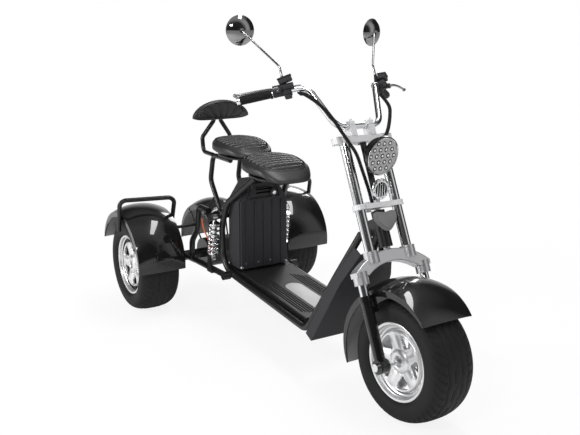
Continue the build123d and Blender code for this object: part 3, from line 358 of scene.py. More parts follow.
@dataclass
class Stage:
    """The floor, the light and the camera.

    Attributes:
        eye: the camera's place in millimetres.
        yaw_deg, pitch_deg, roll_deg: its turn, as in the photograph.
        focal_px, image_width_px, sensor_mm: its focal length and the widths that go with it.
        reach: how far the floor goes and the camera sees, in metres.
        ambient: the even light from all sides.
        floor_white, paper: the floor's grey near the object, as seen and as it throws light back.
        shadow_reach, shadow_fade: how far the shadow is kept, and how fast the floor turns white past that.
        room: what gloss sees from behind the object to before it, in (place, grey) stops.
        ceiling, ceiling_grey: how much of the ceiling gloss sees by height, and its grey.
        lamps: the soft boxes.
    """

    eye: tuple = (3025.14, -1889.20, 1516.43)
    yaw_deg: float = 148.5779
    pitch_deg: float = -14.38118
    roll_deg: float = 0.12898
    focal_px: float = 820.2998
    image_width_px: int = 580
    sensor_mm: float = 36.0
    reach: float = 60.0
    ambient: float = 0.6
    floor_white: float = 0.86
    paper: float = 0.85
    shadow_reach: float = 1.6
    shadow_fade: float = 0.12
    room: tuple = (
        (0.0, 0.03), (0.16, 0.06), (0.3, 0.75), (0.42, 0.75), (0.55, 0.04), (0.9, 0.03), (1.0, 0.8),
    )
    ceiling: tuple = ((0.0, 0.0), (0.6, 0.0), (0.85, 0.7), (1.0, 0.7))
    ceiling_grey: float = 0.4
    lamps: tuple = (
        SoftBox("key", (2.4, -3.0, 3.2), 1.1, 0.5, 55.0),
        SoftBox("side", (-1.4, -4.2, 1.8), 0.7, 1.8, 75.0),
        SoftBox("top", (0.2, 0.6, 4.0), 2.6, 0.6, 60.0),
        SoftBox("rear", (-2.6, 2.4, 2.2), 1.2, 1.2, 30.0),
    )

    def build(self) -> None:
        """Makes the whole stage."""
        self._camera()
        self._floor()
        self._world()
        for lamp in self.lamps:
            lamp.build()
        bpy.context.scene.view_settings.view_transform = "Standard"

    def _camera(self) -> None:
        """Makes the camera at the photograph's viewing angle."""
        data = bpy.data.cameras.new("camera")
        camera = bpy.data.objects.new("camera", data)
        bpy.context.scene.collection.objects.link(camera)
        yaw, pitch, roll = (math.radians(a) for a in (self.yaw_deg, self.pitch_deg, self.roll_deg))
        ahead = Vector((math.cos(yaw) * math.cos(pitch), math.sin(yaw) * math.cos(pitch), math.sin(pitch)))
        right = ahead.cross(Vector((0, 0, 1))).normalized()
        above = right.cross(ahead)
        side = right * math.cos(roll) + above * math.sin(roll)
        up = above * math.cos(roll) - right * math.sin(roll)
        turn = Matrix((side, up, -ahead)).transposed().to_4x4()
        camera.matrix_world = Matrix.Translation(Vector(self.eye) * MM) @ turn
        data.sensor_width = self.sensor_mm
        data.lens = self.focal_px * self.sensor_mm / self.image_width_px
        data.clip_end = self.reach
        bpy.context.scene.camera = camera

    @staticmethod
    def _seen(path: Outputs) -> Signal:
        """Whether a ray comes from the camera, straight or through glass."""
        return path["Is Camera Ray"].math("MAXIMUM", path["Is Transmission Ray"])

    def _floor(self) -> None:
        """Makes a wide white floor that keeps a faint shadow near the object."""
        mesh = bmesh.new()
        bmesh.ops.create_grid(mesh, x_segments=1, y_segments=1, size=self.reach)
        floor = finish_mesh(mesh, "floor", smooth=False)
        material = bpy.data.materials.new("floor_paper")
        graph = Graph(material)
        seen = self._seen(graph.node("ShaderNodeLightPath"))
        away = graph.node("ShaderNodeVectorMath", {"operation": "LENGTH"}, {0: graph.place()})["Value"]
        white = (away - self.shadow_reach) * self.shadow_fade + self.floor_white
        share = seen * white.math("MINIMUM", 1.0).math("MAXIMUM", self.floor_white)
        paper = graph.node("ShaderNodeBsdfDiffuse", {}, {"Color": grey(self.paper)})
        glow = graph.node("ShaderNodeEmission", {}, {"Color": grey(1.0), "Strength": 1.0})
        mixed = graph.node("ShaderNodeMixShader", {}, {0: share, 1: paper[0], 2: glow[0]})
        graph.node("ShaderNodeOutputMaterial", {}, {"Surface": mixed[0]})
        floor.data.materials.append(material)

    def _world(self) -> None:
        """Lights evenly from all sides; gloss shows white behind the object and a dim room before it."""
        world = bpy.data.worlds.new("world")
        bpy.context.scene.world = world
        graph = Graph(world)
        path = graph.node("ShaderNodeLightPath")
        direction = graph.node("ShaderNodeTexCoord")["Generated"]
        yaw = math.radians(self.yaw_deg)
        behind = graph.along(direction, (math.cos(yaw), math.sin(yaw), 0.0)) * 0.5 + 0.5
        room = graph.ramp(behind, self.room)
        ceiling = graph.ramp(graph.along(direction, (0.0, 0.0, 1.0)), self.ceiling)
        gloss = graph.mix(ceiling, room, grey(self.ceiling_grey))
        ambient = graph.mix(path["Is Glossy Ray"], grey(self.ambient), gloss)
        colour = graph.mix(self._seen(path), ambient, grey(1.0))
        sky = graph.node("ShaderNodeBackground", {}, {"Color": colour, "Strength": 1.0})
        graph.node("ShaderNodeOutputWorld", {}, {"Surface": sky[0]})


def finish_mesh(mesh: bmesh.types.BMesh, name: str, smooth: bool = True) -> bpy.types.Object:
    """Turns a bmesh into an object at the origin.

    Args:
        mesh: the shape, in metres in the shared frame; it is freed.
        name: the object's name.
        smooth: whether its faces shade smooth.

    Returns:
        The object, linked to the scene.
    """
    data = bpy.data.meshes.new(name)
    for face in mesh.faces:
        face.smooth = smooth
    mesh.to_mesh(data)
    mesh.free()
    made = bpy.data.objects.new(name, data)
    bpy.context.scene.collection.objects.link(made)
    return made


class Palette:
    """The object's finishes."""

    chrome = Finish("chrome", grey(0.58), grey(0.68), 0.07, 0.03, metal=1.0, relief=1e-5)
    aluminium = Finish("satin_aluminium", grey(0.60), grey(0.7), 0.3, 0.06, metal=1.0)
    cast = Finish("silver_paint", grey(0.66), grey(0.74), 0.32, 0.06, metal=0.4)
    gloss = Finish("gloss_black_paint", grey(0.004), grey(0.008), 0.3, 0.04, shine=0.1, coat=1.0, relief=1e-5)
    satin = Finish("satin_black_paint", grey(0.008), grey(0.012), 0.29, 0.06, shine=0.45)
    plastic = Finish("black_plastic", grey(0.008), grey(0.013), 0.44, 0.06, shine=0.25)
    # Painted shade: a dark alloy for the rear wheels' inner barrels, which lie in the fenders' shade.
    alloy_painted_shade = Finish("alloy_with_painted_shade", grey(0.03), grey(0.05), 0.4, 0.08, metal=0.3)
    liner = Finish("shell_inside", grey(0.3), grey(0.36), 0.4, 0.06)
    orange = Finish("orange_cable", (0.55, 0.08, 0.01, 1.0), (0.6, 0.1, 0.015, 1.0), 0.45)
    mat = Finish("floor_rubber", grey(0.012), grey(0.018), 0.5, 0.06, shine=0.35)
    grey_plastic = Finish("grey_plastic", grey(0.028), grey(0.038), 0.42, 0.06)
    pale_plastic = Finish("pale_grey_plastic", grey(0.14), grey(0.18), 0.42, 0.06)
    rubber = Finish("tyre_rubber", grey(0.008), grey(0.014), 0.62, 0.08, shine=0.22)
    # Painted shade: the leatherette is darkened down in its seams.
    leather = SewnWithPaintedShade("black_leatherette", grey(0.014), grey(0.022), 0.4, 0.06, grain=0.0016, relief=0.00008)
    wheel = Finish("polished_wheel", grey(0.66), grey(0.8), 0.27, 0.08, metal=0.9, patch=0.05)
    steel = Finish("dark_steel", grey(0.2), grey(0.28), 0.35, 0.06, metal=1.0)
    silver = Finish("silver_pad", grey(0.42), grey(0.48), 0.55, 0.06, metal=0.3)
    lens = Finish("lamp_reflector", grey(0.3), grey(0.4), 0.25, 0.05, coat=0.8)
    # Painted dark reflection: a darker copy of chrome for the chrome mirrors and their stems.
    chrome_painted_dark = Finish("chrome_with_painted_shade", grey(0.26), grey(0.34), 0.08, 0.03, metal=1.0, relief=1e-5)
    emitter = Finish("lamp_emitter", grey(0.8), grey(0.86), 0.3, 0.05)
    mirror = Finish("mirror_glass", grey(0.8), grey(0.84), 0.03, 0.01, metal=1.0, relief=0.0)


# Shaping


Points = Sequence[Sequence[float]]


class Shape:
    """A mesh in the making, in metres, which grows by operators."""

    def __init__(self) -> None:
        """Starts empty."""
        self.mesh = bmesh.new()

    def _new(self, old: set) -> list:
        """The vertices that aren't among the old ones."""
        return [vert for vert in self.mesh.verts if vert not in old]

    def lathe(self, profile: Points, steps: int = 64, place: Matrix = Matrix(), turn: float = math.tau,
              closed: bool = False) -> "Shape":
        """Turns a profile about the local Y axis.

        Args:
            profile: (place along Y, radius) pairs.
            steps: the number of steps.
            place: where the local frame stands.
            turn: the angle, a full turn or less.
            closed: whether the profile is a closed loop.

        Returns:
            This shape.
        """
        old = set(self.mesh.verts)
        chain = [self.mesh.verts.new((radius, along, 0.0)) for along, radius in profile]
        pairs = list(zip(chain, chain[1:])) + ([(chain[-1], chain[0])] if closed else [])
        edges = [self.mesh.edges.new(pair) for pair in pairs]
        full = abs(turn - math.tau) < MERGE
        bmesh.ops.spin(
            self.mesh, geom=chain + edges, cent=(0, 0, 0), axis=(0, 1, 0), dvec=(0, 0, 0), angle=turn,
            steps=steps, use_merge=full, use_duplicate=False,
        )
        made = self._new(old)
        if any(radius < MERGE for _, radius in profile):
            bmesh.ops.remove_doubles(self.mesh, verts=made, dist=MERGE)
            made = self._new(old)
        bmesh.ops.transform(self.mesh, matrix=place, verts=made)
        return self

    def rod(self, low: Sequence[float], high: Sequence[float], radius: float, tip: float | None = None,
            sides: int = 24, bevel: float = 0.0) -> "Shape":
        """A round rod or cone between two points.

        Args:
            low, high: the middles of its ends.
            radius, tip: its radius at low and at high.
            sides: the number of sides.
            bevel: the width of its rounded rims.

        Returns:
            This shape.
        """
        low, high = Vector(low), Vector(high)
        run = high - low
        place = Matrix.Translation((low + high) / 2) @ run.to_track_quat("Z", "Y").to_matrix().to_4x4()
        made = bmesh.ops.create_cone(
            self.mesh, cap_ends=True, segments=sides, radius1=radius, radius2=radius if tip is None else tip,
            depth=run.length, matrix=place,
        )
        if bevel:
            edges = {edge for vert in made["verts"] for edge in vert.link_edges}
            self.round([e for e in edges if any(len(face.verts) > 4 for face in e.link_faces)], bevel)
        return self

    def box(self, size: Sequence[float], place: Matrix, bevel: float = 0.0, segments: int = 2) -> "Shape":
        """A box with rounded edges about the origin of a frame.

        Args:
            size: its lengths along the frame's axes.
            place: the frame.
            bevel, segments: the width and fineness of its rounded edges.

        Returns:
            This shape.
        """
        scale = Matrix.Diagonal((*size, 1.0))
        made = bmesh.ops.create_cube(self.mesh, size=1.0, matrix=place @ scale)
        if bevel:
            self.round({e for v in made["verts"] for e in v.link_edges}, bevel, segments)
        return self

    def round(self, edges: Iterable, width: float, segments: int = 2) -> None:
        """Rounds edges.

        Args:
            edges: what is rounded.
            width, segments: how far from the edge the rounding starts, and its fineness.
        """
        bmesh.ops.bevel(
            self.mesh, geom=list(edges), offset=width, offset_type="OFFSET", segments=segments, profile=0.5,
            affect="EDGES", material=-1,
        )

    def ball(self, centre: Sequence[float], radius: float, squash: Sequence[float] = (1, 1, 1)) -> "Shape":
        """A small ball, squashed by axis.

        Args:
            centre, radius: where it is and its radius.
            squash: its share of the radius along each axis.

        Returns:
            This shape.
        """
        place = Matrix.Translation(Vector(centre)) @ Matrix.Diagonal((*squash, 1.0))
        bmesh.ops.create_uvsphere(self.mesh, u_segments=16, v_segments=10, radius=radius, matrix=place)
        return self

    def tube(self, points: Points, radii: Sequence[float], smooth: bool = False) -> "Shape":
        """A round tube with closed ends.

        Args:
            points: its middle line, or what guides it where it is smooth.
            radii: its radius at each point.
            smooth: whether it bends smoothly between the points.

        Returns:
            This shape.
        """
        curve = bpy.data.curves.new("route", "CURVE")
        curve.dimensions, curve.bevel_depth, curve.bevel_resolution, curve.use_fill_caps = "3D", 1.0, 3, True
        spline = curve.splines.new("NURBS" if smooth else "POLY")
        spline.points.add(len(points) - 1)
        for point, place, radius in zip(spline.points, points, radii):
            point.co = (*place, 1.0)
            point.radius = radius
        if smooth:
            spline.order_u, spline.use_endpoint_u, spline.resolution_u = 3, True, 8
        holder = bpy.data.objects.new("route", curve)
        self.mesh.from_mesh(bpy.data.meshes.new_from_object(holder))
        bpy.data.objects.remove(holder)
        return self

    def outline(self, corners: Points, place: Matrix, depth: float, bevel: float = 0.0) -> "Shape":
        """A plate of a closed outline in a frame's XY plane, thickened along its Z.

        Args:
            corners: the outline.
            place: the frame.
            depth: the plate's thickness.
            bevel: the width of its rounded edges.

        Returns:
            This shape.
        """
        verts = [self.mesh.verts.new(place @ Vector((*corner, 0.0))) for corner in corners]
        face = self.mesh.faces.new(verts)
        grown = bmesh.ops.extrude_face_region(self.mesh, geom=[face])["geom"]
        tops = [v for v in grown if isinstance(v, bmesh.types.BMVert)]
        bmesh.ops.translate(self.mesh, vec=(place.to_3x3() @ Vector((0, 0, depth))), verts=tops)
        if bevel:
            rims = {e for v in (*verts, *tops) for e in v.link_edges if e.calc_face_angle(0) > 0.5}
            self.round(rims, bevel)
        return self

    def sway(self, change: Callable[[Vector], Vector]) -> "Shape":
        """Moves each vertex as a function says.

        Args:
            change: gives a point's new place.

        Returns:
            This shape.
        """
        for vert in self.mesh.verts:
            vert.co = change(vert.co)
        return self

    def add(self, name: str, body: Body, finish: Finish, slot: str, replaces: Sequence[str] = (),
            place: Matrix = Matrix(), modifiers: Sequence[tuple[str, dict]] = (),
            crease: float = 40.0) -> bpy.types.Object:
        """Makes the finished piece.

        Args:
            name: its name.
            body: what it rides on.
            finish: its material.
            slot: the record's material slot; not used.
            replaces: the frame's nodes that it stands for.
            place: a last move of the whole mesh.
            modifiers: (kind, settings) pairs.
            crease: the angle in degrees past which an edge shades sharp.

        Returns:
            The object.
        """
        bmesh.ops.transform(self.mesh, matrix=place, verts=self.mesh.verts[:])
        if not any(kind == "SOLIDIFY" for kind, _ in modifiers):
            bmesh.ops.recalc_face_normals(self.mesh, faces=self.mesh.faces[:])
        for edge in self.mesh.edges:
            edge.smooth = edge.calc_face_angle(0.0) < math.radians(crease)
        made = finish_mesh(self.mesh, name)
        made.data.materials.append(finish.build())
        for kind, settings in modifiers:
            modifier = made.modifiers.new(kind.lower(), kind)
            for key, value in settings.items():
                setattr(modifier, key, value)
        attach(made, body.value)
        if replaces:
            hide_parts(*replaces)
        LOG.info("built %s", name)
        return made


def step_between(value: float, low: float, high: float) -> float:
    """A smooth step from 0 at low to 1 at high."""
    share = min(max((value - low) / (high - low), 0.0), 1.0)
    return share * share * (3 - 2 * share)


# Places in the frame


JOINTS = {joint["name"]: joint for joint in frame["joints"]}
AXLE = Vector(JOINTS["steering_turn"]["pos_m"])
STEM = Vector(JOINTS["steering_turn"]["axis"])
RAKE = math.atan2(-STEM.x, STEM.z)
PARKED = math.acos(JOINTS["front_wheel_spin"]["axis"][1])
STEERED = Matrix.Translation(AXLE) @ Matrix.Rotation(PARKED, 4, STEM) @ Matrix.Translation(-AXLE)
FORK = STEERED @ Matrix.Translation(AXLE) @ Matrix.Rotation(-RAKE, 4, "Y")
REAR = Vector(JOINTS["rear_left_spin"]["pos_m"])


def model(x: float, y: float, z: float) -> Vector:
    """A point given from the rear axle and the ground in millimetres, in the shared frame."""
    return Vector((x * MM + REAR.x, y * MM, z * MM))


# Wheels


@dataclass
class Tyre:
    """A fat road tyre with wavy grooves and hooked cuts on its shoulders.

    Attributes:
        radius, half_width: its outer radius and half width.
        middle, fullness: the radius of its widest place, and how square its section is.
        bead_half: the half width between the beads.
        across, around: the fineness of its mesh.
        groove_places, groove_half, groove_depth: the grooves' places across, half width and depth.
        wave, waves: how far the grooves swing, and how often.
        cuts, cut_half: the number of cuts on each shoulder and their half width.
        cut_inner, cut_outer, lean: from where to where the cuts run across, and how many pitches they lean.
    """

    radius: float = AXLE.z
    half_width: float = 0.103
    middle: float = 0.186
    bead_half: float = 0.0875
    fullness: float = 2.6
    across: int = 84
    around: int = 270
    groove_half: float = 0.0032
    groove_depth: float = 0.0042
    groove_places: tuple = (-0.047, -0.0165, 0.0165, 0.047)
    wave: float = 0.0032
    waves: int = 18
    cuts: int = 45
    cut_half: float = 0.0021
    cut_inner: float = 0.056
    cut_outer: float = 0.097
    lean: float = 1.3

    def section(self) -> list:
        """The outline from bead to bead as (place across, radius) pairs."""
        high = self.radius - self.middle
        start = math.acos((self.bead_half / self.half_width) ** (self.fullness / 2))
        points = []
        for k in range(self.across + 1):
            angle = -start + (math.pi + 2 * start) * k / self.across
            c, s = math.cos(angle), math.sin(angle)
            y = math.copysign(abs(c) ** (2 / self.fullness), c) * self.half_width
            points.append((y, self.middle + math.copysign(abs(s) ** (2 / self.fullness), s) * high))
        return points

    def depth(self, y: float, angle: float) -> float:
        """How deep the tread is cut at a place.

        Args:
            y: the place across.
            angle: the place around, in radians.

        Returns:
            The depth in metres.
        """
        cut = 0.0
        for k, place in enumerate(self.groove_places):
            line = place + self.wave * math.sin(self.waves * angle + k * math.pi / 2)
            cut = max(cut, 1 - step_between(abs(y - line), self.groove_half * 0.5, self.groove_half * 1.5))
        reach = (abs(y) - self.cut_inner) / (self.cut_outer - self.cut_inner)
        if -0.1 < reach < 1.1:
            bend = self.lean * reach * reach * math.tau / self.cuts
            side = 0.5 if y > 0 else 0.0
            phase = ((angle + bend) * self.cuts / math.tau + side) % 1.0
            away = min(phase, 1 - phase) * math.tau / self.cuts * self.radius
            fade = step_between(reach, -0.1, 0.05) * (1 - step_between(reach, 0.85, 1.1))
            cut = max(cut, fade * (1 - step_between(away, self.cut_half * 0.4, self.cut_half * 1.6)))
        return cut * self.groove_depth

    def tread(self, point: Vector) -> Vector:
        """Moves a point of the smooth tyre into the tread.

        Args:
            point: the point about the tyre's centre.

        Returns:
            Its new place.
        """
        radius = math.hypot(point.x, point.z)
        if radius < self.middle:
            return point
        cut = self.depth(point.y, math.atan2(point.z, point.x))
        middle = self.middle
        inward = Vector((point.x / radius * (radius - middle), point.y, point.z / radius * (radius - middle)))
        return point - inward.normalized() * cut

    def shape(self) -> Shape:
        """The tyre about its own centre."""
        return Shape().lathe(self.section(), self.around).sway(self.tread)


@dataclass
class Wheel:
    """A polished cast wheel with broad spokes and rounded windows, and its tyre.

    Attributes:
        name, body: the wheel's name and what it rides on.
        spokes, cells: the number of spokes, and of cells from one to the next.
        lip, half: the rim's outer radius and half width.
        rings: the face's (radius, place across) pairs.
        window_rings, window_cells: which rings the windows span, and their half widths in cells there.
        thickness, crown_height: the spokes' thickness and how far their middles rise.
        lip_steps, back_steps: the barrel's section, in from the rim's side and down from its lip.
        hub_steps: the hub's section.
        bright: how far down from the lip the barrel keeps the wheel's finish.
        inside: the finish further in; on the rear wheels a darker alloy, painted shade under the fenders.
    """

    name: str
    body: Body
    spokes: int = 5
    cells: int = 12
    lip: float = 0.152
    half: float = 0.088
    rings: tuple = (
        (0.018, 0.060), (0.030, 0.060), (0.034, 0.057), (0.037, 0.050), (0.052, 0.049), (0.060, 0.049),
        (0.072, 0.051), (0.084, 0.053), (0.096, 0.055), (0.106, 0.057), (0.114, 0.058), (0.1195, 0.060),
    )
    window_rings: tuple = (5, 9)
    window_cells: tuple = (1.1, 2.1, 2.6, 3.1)
    thickness: float = 0.018
    crown_height: float = 0.006
    lip_steps: tuple = (
        (0.008, 0.009), (0.008, 0.0), (0.005, -0.0016), (0.001, 0.0), (0.0, 0.003), (0.0015, 0.010),
        (0.007, 0.013), (0.013, 0.0135), (0.0165, 0.018), (0.024, 0.0195), (0.027, 0.026), (0.045, 0.030),
        (0.088, 0.034),
    )
    back_steps: tuple = ((0.088, 0.030), (0.044, 0.026), (0.026, 0.0215), (0.0225, 0.009))
    hub_steps: tuple = (
        (-0.060, 0.0), (-0.060, 0.036), (0.03, 0.036), (0.056, 0.0335), (0.0625, 0.030), (0.0625, 0.016),
        (0.0585, 0.0145), (0.0585, 0.0),
    )
    bright: float = 0.016
    inside: Finish = Palette.wheel

    def place(self) -> Matrix:
        """The wheel's frame, its open face towards local +Y."""
        joint = next(joint for joint in frame["joints"] if joint["child"] == self.body.value)
        centre = Matrix.Translation(Vector(joint["pos_m"]))
        turn = Matrix.Rotation(PARKED, 4, STEM) if self.body is Body.FRONT else Matrix()
        side = Matrix.Rotation(math.pi, 4, "Z") if self.body is not Body.REAR_LEFT else Matrix()
        return centre @ turn @ side

    def barrel(self) -> Shape:
        """The rim's barrel with its stepped lip."""
        outer, back = (
            [(self.half - across, self.lip - down) for across, down in steps]
            for steps in (self.lip_steps, self.back_steps)
        )
        mirrored = [[(-y, radius) for y, radius in reversed(side)] for side in (outer, back)]
        loop = outer + mirrored[0][1:] + mirrored[1][:-1] + back
        return Shape().lathe(loop, 160, closed=True)

    def face(self) -> Shape:
        """The spoked face, a sheet that modifiers thicken and smooth."""
        shape = Shape()
        steps = self.spokes * self.cells
        shape.lathe([(y, r) for r, y in self.rings], steps)
        first, last = self.window_rings
        gone = []
        for item in shape.mesh.faces:
            middle = item.calc_center_median()
            radius = math.hypot(middle.x, middle.z)
            angle = math.atan2(middle.z, middle.x) / math.tau * self.spokes % 1.0
            away = abs(angle - 0.5) * self.cells
            for k in range(first, last):
                if self.rings[k][0] < radius < self.rings[k + 1][0] and away < self.window_cells[k - first]:
                    gone.append(item)
        bmesh.ops.delete(shape.mesh, geom=gone, context="FACES")
        return shape.sway(self.crown)

    def crown(self, point: Vector) -> Vector:
        """Raises the middle of each spoke a little.

        Args:
            point: a point of the flat face.

        Returns:
            Its new place.
        """
        radius = math.hypot(point.x, point.z)
        angle = math.atan2(point.z, point.x) / math.tau * self.spokes % 1.0
        away = min(angle, 1 - angle) * math.tau / self.spokes * radius
        share = step_between(radius, 0.04, 0.06) * (1 - step_between(radius, 0.095, 0.115))
        return point + Vector((0, self.crown_height * share * (1 - step_between(away, 0.004, 0.02)), 0))

    def build(self) -> None:
        """Makes the wheel's pieces."""
        name, body, place = self.name, self.body, self.place()
        alloy = (body, Palette.wheel, "polished_wheel")
        Tyre().shape().add(name + "_tread", body, Palette.rubber, "tyre", [name + "_tyre"], place)
        barrel = self.barrel().add(name + "_barrel", *alloy, [name + "_rim"], place, crease=30.0)
        # Below the lip the barrel takes the inside finish, which on the rear wheels is painted shade.
        barrel.data.materials.append(self.inside.build())
        inward = place.inverted()
        for item in barrel.data.polygons:
            middle = inward @ item.center
            item.material_index = int(math.hypot(middle.x, middle.z) < self.lip - self.bright)
        smooth = [
            ("SOLIDIFY", {"thickness": self.thickness, "offset": 1.0}),
            ("SUBSURF", {"levels": 2, "render_levels": 2}),
        ]
        self.face().add(name + "_face", *alloy, (), place, smooth, SEAMLESS)
        Shape().lathe(self.hub_steps).add(name + "_hub", *alloy, (), place, crease=35.0)


@dataclass
class Fender:
    """A rounded shell over a wheel, drawn about its axle.

    Attributes:
        name, body: the shell's name and what it rides on.
        centre, turn: the axle's place, and the turn of the whole shell.
        start_deg, end_deg: the angles from straight ahead that it spans.
        edge, half, wall: its inner radius, half width and thickness.
        skirt, rise: how high its sides stand, and its arch above them.
        lip: the share of that height at its ends.
        fullness, arch_power: how squarely it swells along its length and across.
        rim, rim_angle: the width of its rounded rims, and the angle past which an edge is one.
        across, steps: the fineness of its mesh.
        in_frame: whether it stands for the frame's node of the same name.
    """

    name: str
    body: Body
    centre: Vector
    start_deg: float
    end_deg: float
    turn: Matrix = field(default_factory=Matrix)
    edge: float = 0.256
    skirt: float = 0.022
    rise: float = 0.030
    half: float = 0.122
    wall: float = 0.004
    lip: float = 0.15
    fullness: float = 3.2
    arch_power: float = 2.2
    rim: float = 0.0012
    rim_angle: float = math.radians(50)
    across: int = 26
    steps: int = 72
    in_frame: bool = True

    def swelling(self, share: float) -> float:
        """How far the shell swells at a share of its length."""
        return self.lip + (1 - self.lip) * (1 - abs(2 * share - 1) ** self.fullness)

    def section(self) -> list:
        """The shell's full section as (place across, radius) pairs."""
        low = [(-self.half, self.edge - self.wall), (-self.half, self.edge + self.skirt * 0.5)]
        arch = []
        for k in range(self.across + 1):
            share = 2 * k / self.across - 1
            height = self.edge + self.skirt + self.rise * (1 - abs(share) ** self.arch_power)
            arch.append((share * self.half, height))
        return low + arch + [(-y, r) for y, r in reversed(low)]

    def swell(self, point: Vector) -> Vector:
        """Draws the shell in towards its ends.

        Args:
            point: a point of the even shell about the axle.

        Returns:
            Its new place.
        """
        radius = math.hypot(point.x, point.z)
        angle = math.degrees(math.atan2(point.z, point.x)) % 360
        share = (angle - self.start_deg) / (self.end_deg - self.start_deg)
        base = self.edge - self.wall
        grown = base + (radius - base) * self.swelling(share)
        return Vector((point.x / radius * grown, point.y, point.z / radius * grown))

    def build(self) -> None:
        """Makes the shell."""
        shape = Shape()
        arc = math.radians(self.end_deg - self.start_deg)
        shape.lathe(self.section(), self.steps, turn=-arc)
        start = Matrix.Rotation(-math.radians(self.start_deg), 4, "Y")
        bmesh.ops.transform(shape.mesh, matrix=start, verts=shape.mesh.verts[:])
        shape.sway(self.swell)
        bmesh.ops.recalc_face_normals(shape.mesh, faces=shape.mesh.faces[:])
        place = self.turn @ Matrix.Translation(self.centre)
        smooth = [
            ("SOLIDIFY", {"thickness": self.wall, "offset": -1.0, "material_offset": 1}),
            ("BEVEL", {"width": self.rim, "segments": 2, "limit_method": "ANGLE",
                       "angle_limit": self.rim_angle}),
            ("SUBSURF", {"levels": 1, "render_levels": 1}),
        ]
        stands_for = [self.name] if self.in_frame else ()
        name = self.name + "_shell"
        made = shape.add(name, self.body, Palette.gloss, "gloss_black", stands_for, place, smooth, SEAMLESS)
        made.data.materials.append(Palette.liner.build())


# Seats


def norm(a: float, b: float, power: float) -> float:
    """The length of a pair by a power, 2 for a circle and more for a rounded square."""
    return (abs(a) ** power + abs(b) ** power) ** (1 / power)


@dataclass
class Cushion:
    """A padded piece that is drawn from a finely divided cube in its node's box.

    Attributes:
        node: the frame's node that it stands for.
    """

    node: str

    def __post_init__(self) -> None:
        """Takes the piece's place from the frame."""
        self.low, self.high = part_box(self.node)
        self.middle = (self.low + self.high) / 2
        self.half = (self.high - self.low) / 2

    def round_off(self, a: float, b: float, c: float) -> tuple:
        """Pulls a point of the unit cube's skin onto the rounded form.

        Args:
            a, b: its shares of the half sizes in the plan.
            c: its share of the half thickness.

        Returns:
            The three shares on the form.
        """
        scale = (norm(a, b, self.plan) ** self.side + abs(c) ** self.side) ** (-1 / self.side)
        return a * scale, b * scale, c * scale

    def sewn(self, _point: Vector) -> float:
        """How far down in a seam a point of the cube lies, from 0 to 1."""
        return 0.0

    def build(self) -> None:
        """Makes the piece."""
        shape = Shape()
        bmesh.ops.create_cube(shape.mesh, size=2.0)
        bmesh.ops.subdivide_edges(shape.mesh, edges=shape.mesh.edges[:], cuts=self.cuts, use_grid_fill=True)
        depths = [self.sewn(vert.co) for vert in shape.mesh.verts]
        shape.sway(self.shape_point)
        name = self.node.removesuffix("_pad") + "_cover"
        made = shape.add(name, Body.CHASSIS, Palette.leather, "leatherette", [self.node], crease=SEAMLESS)
        # The sewn attribute marks where the cover's finish paints shade in the seams.
        made.data.attributes.new("sewn", "FLOAT", "POINT").data.foreach_set("value", depths)


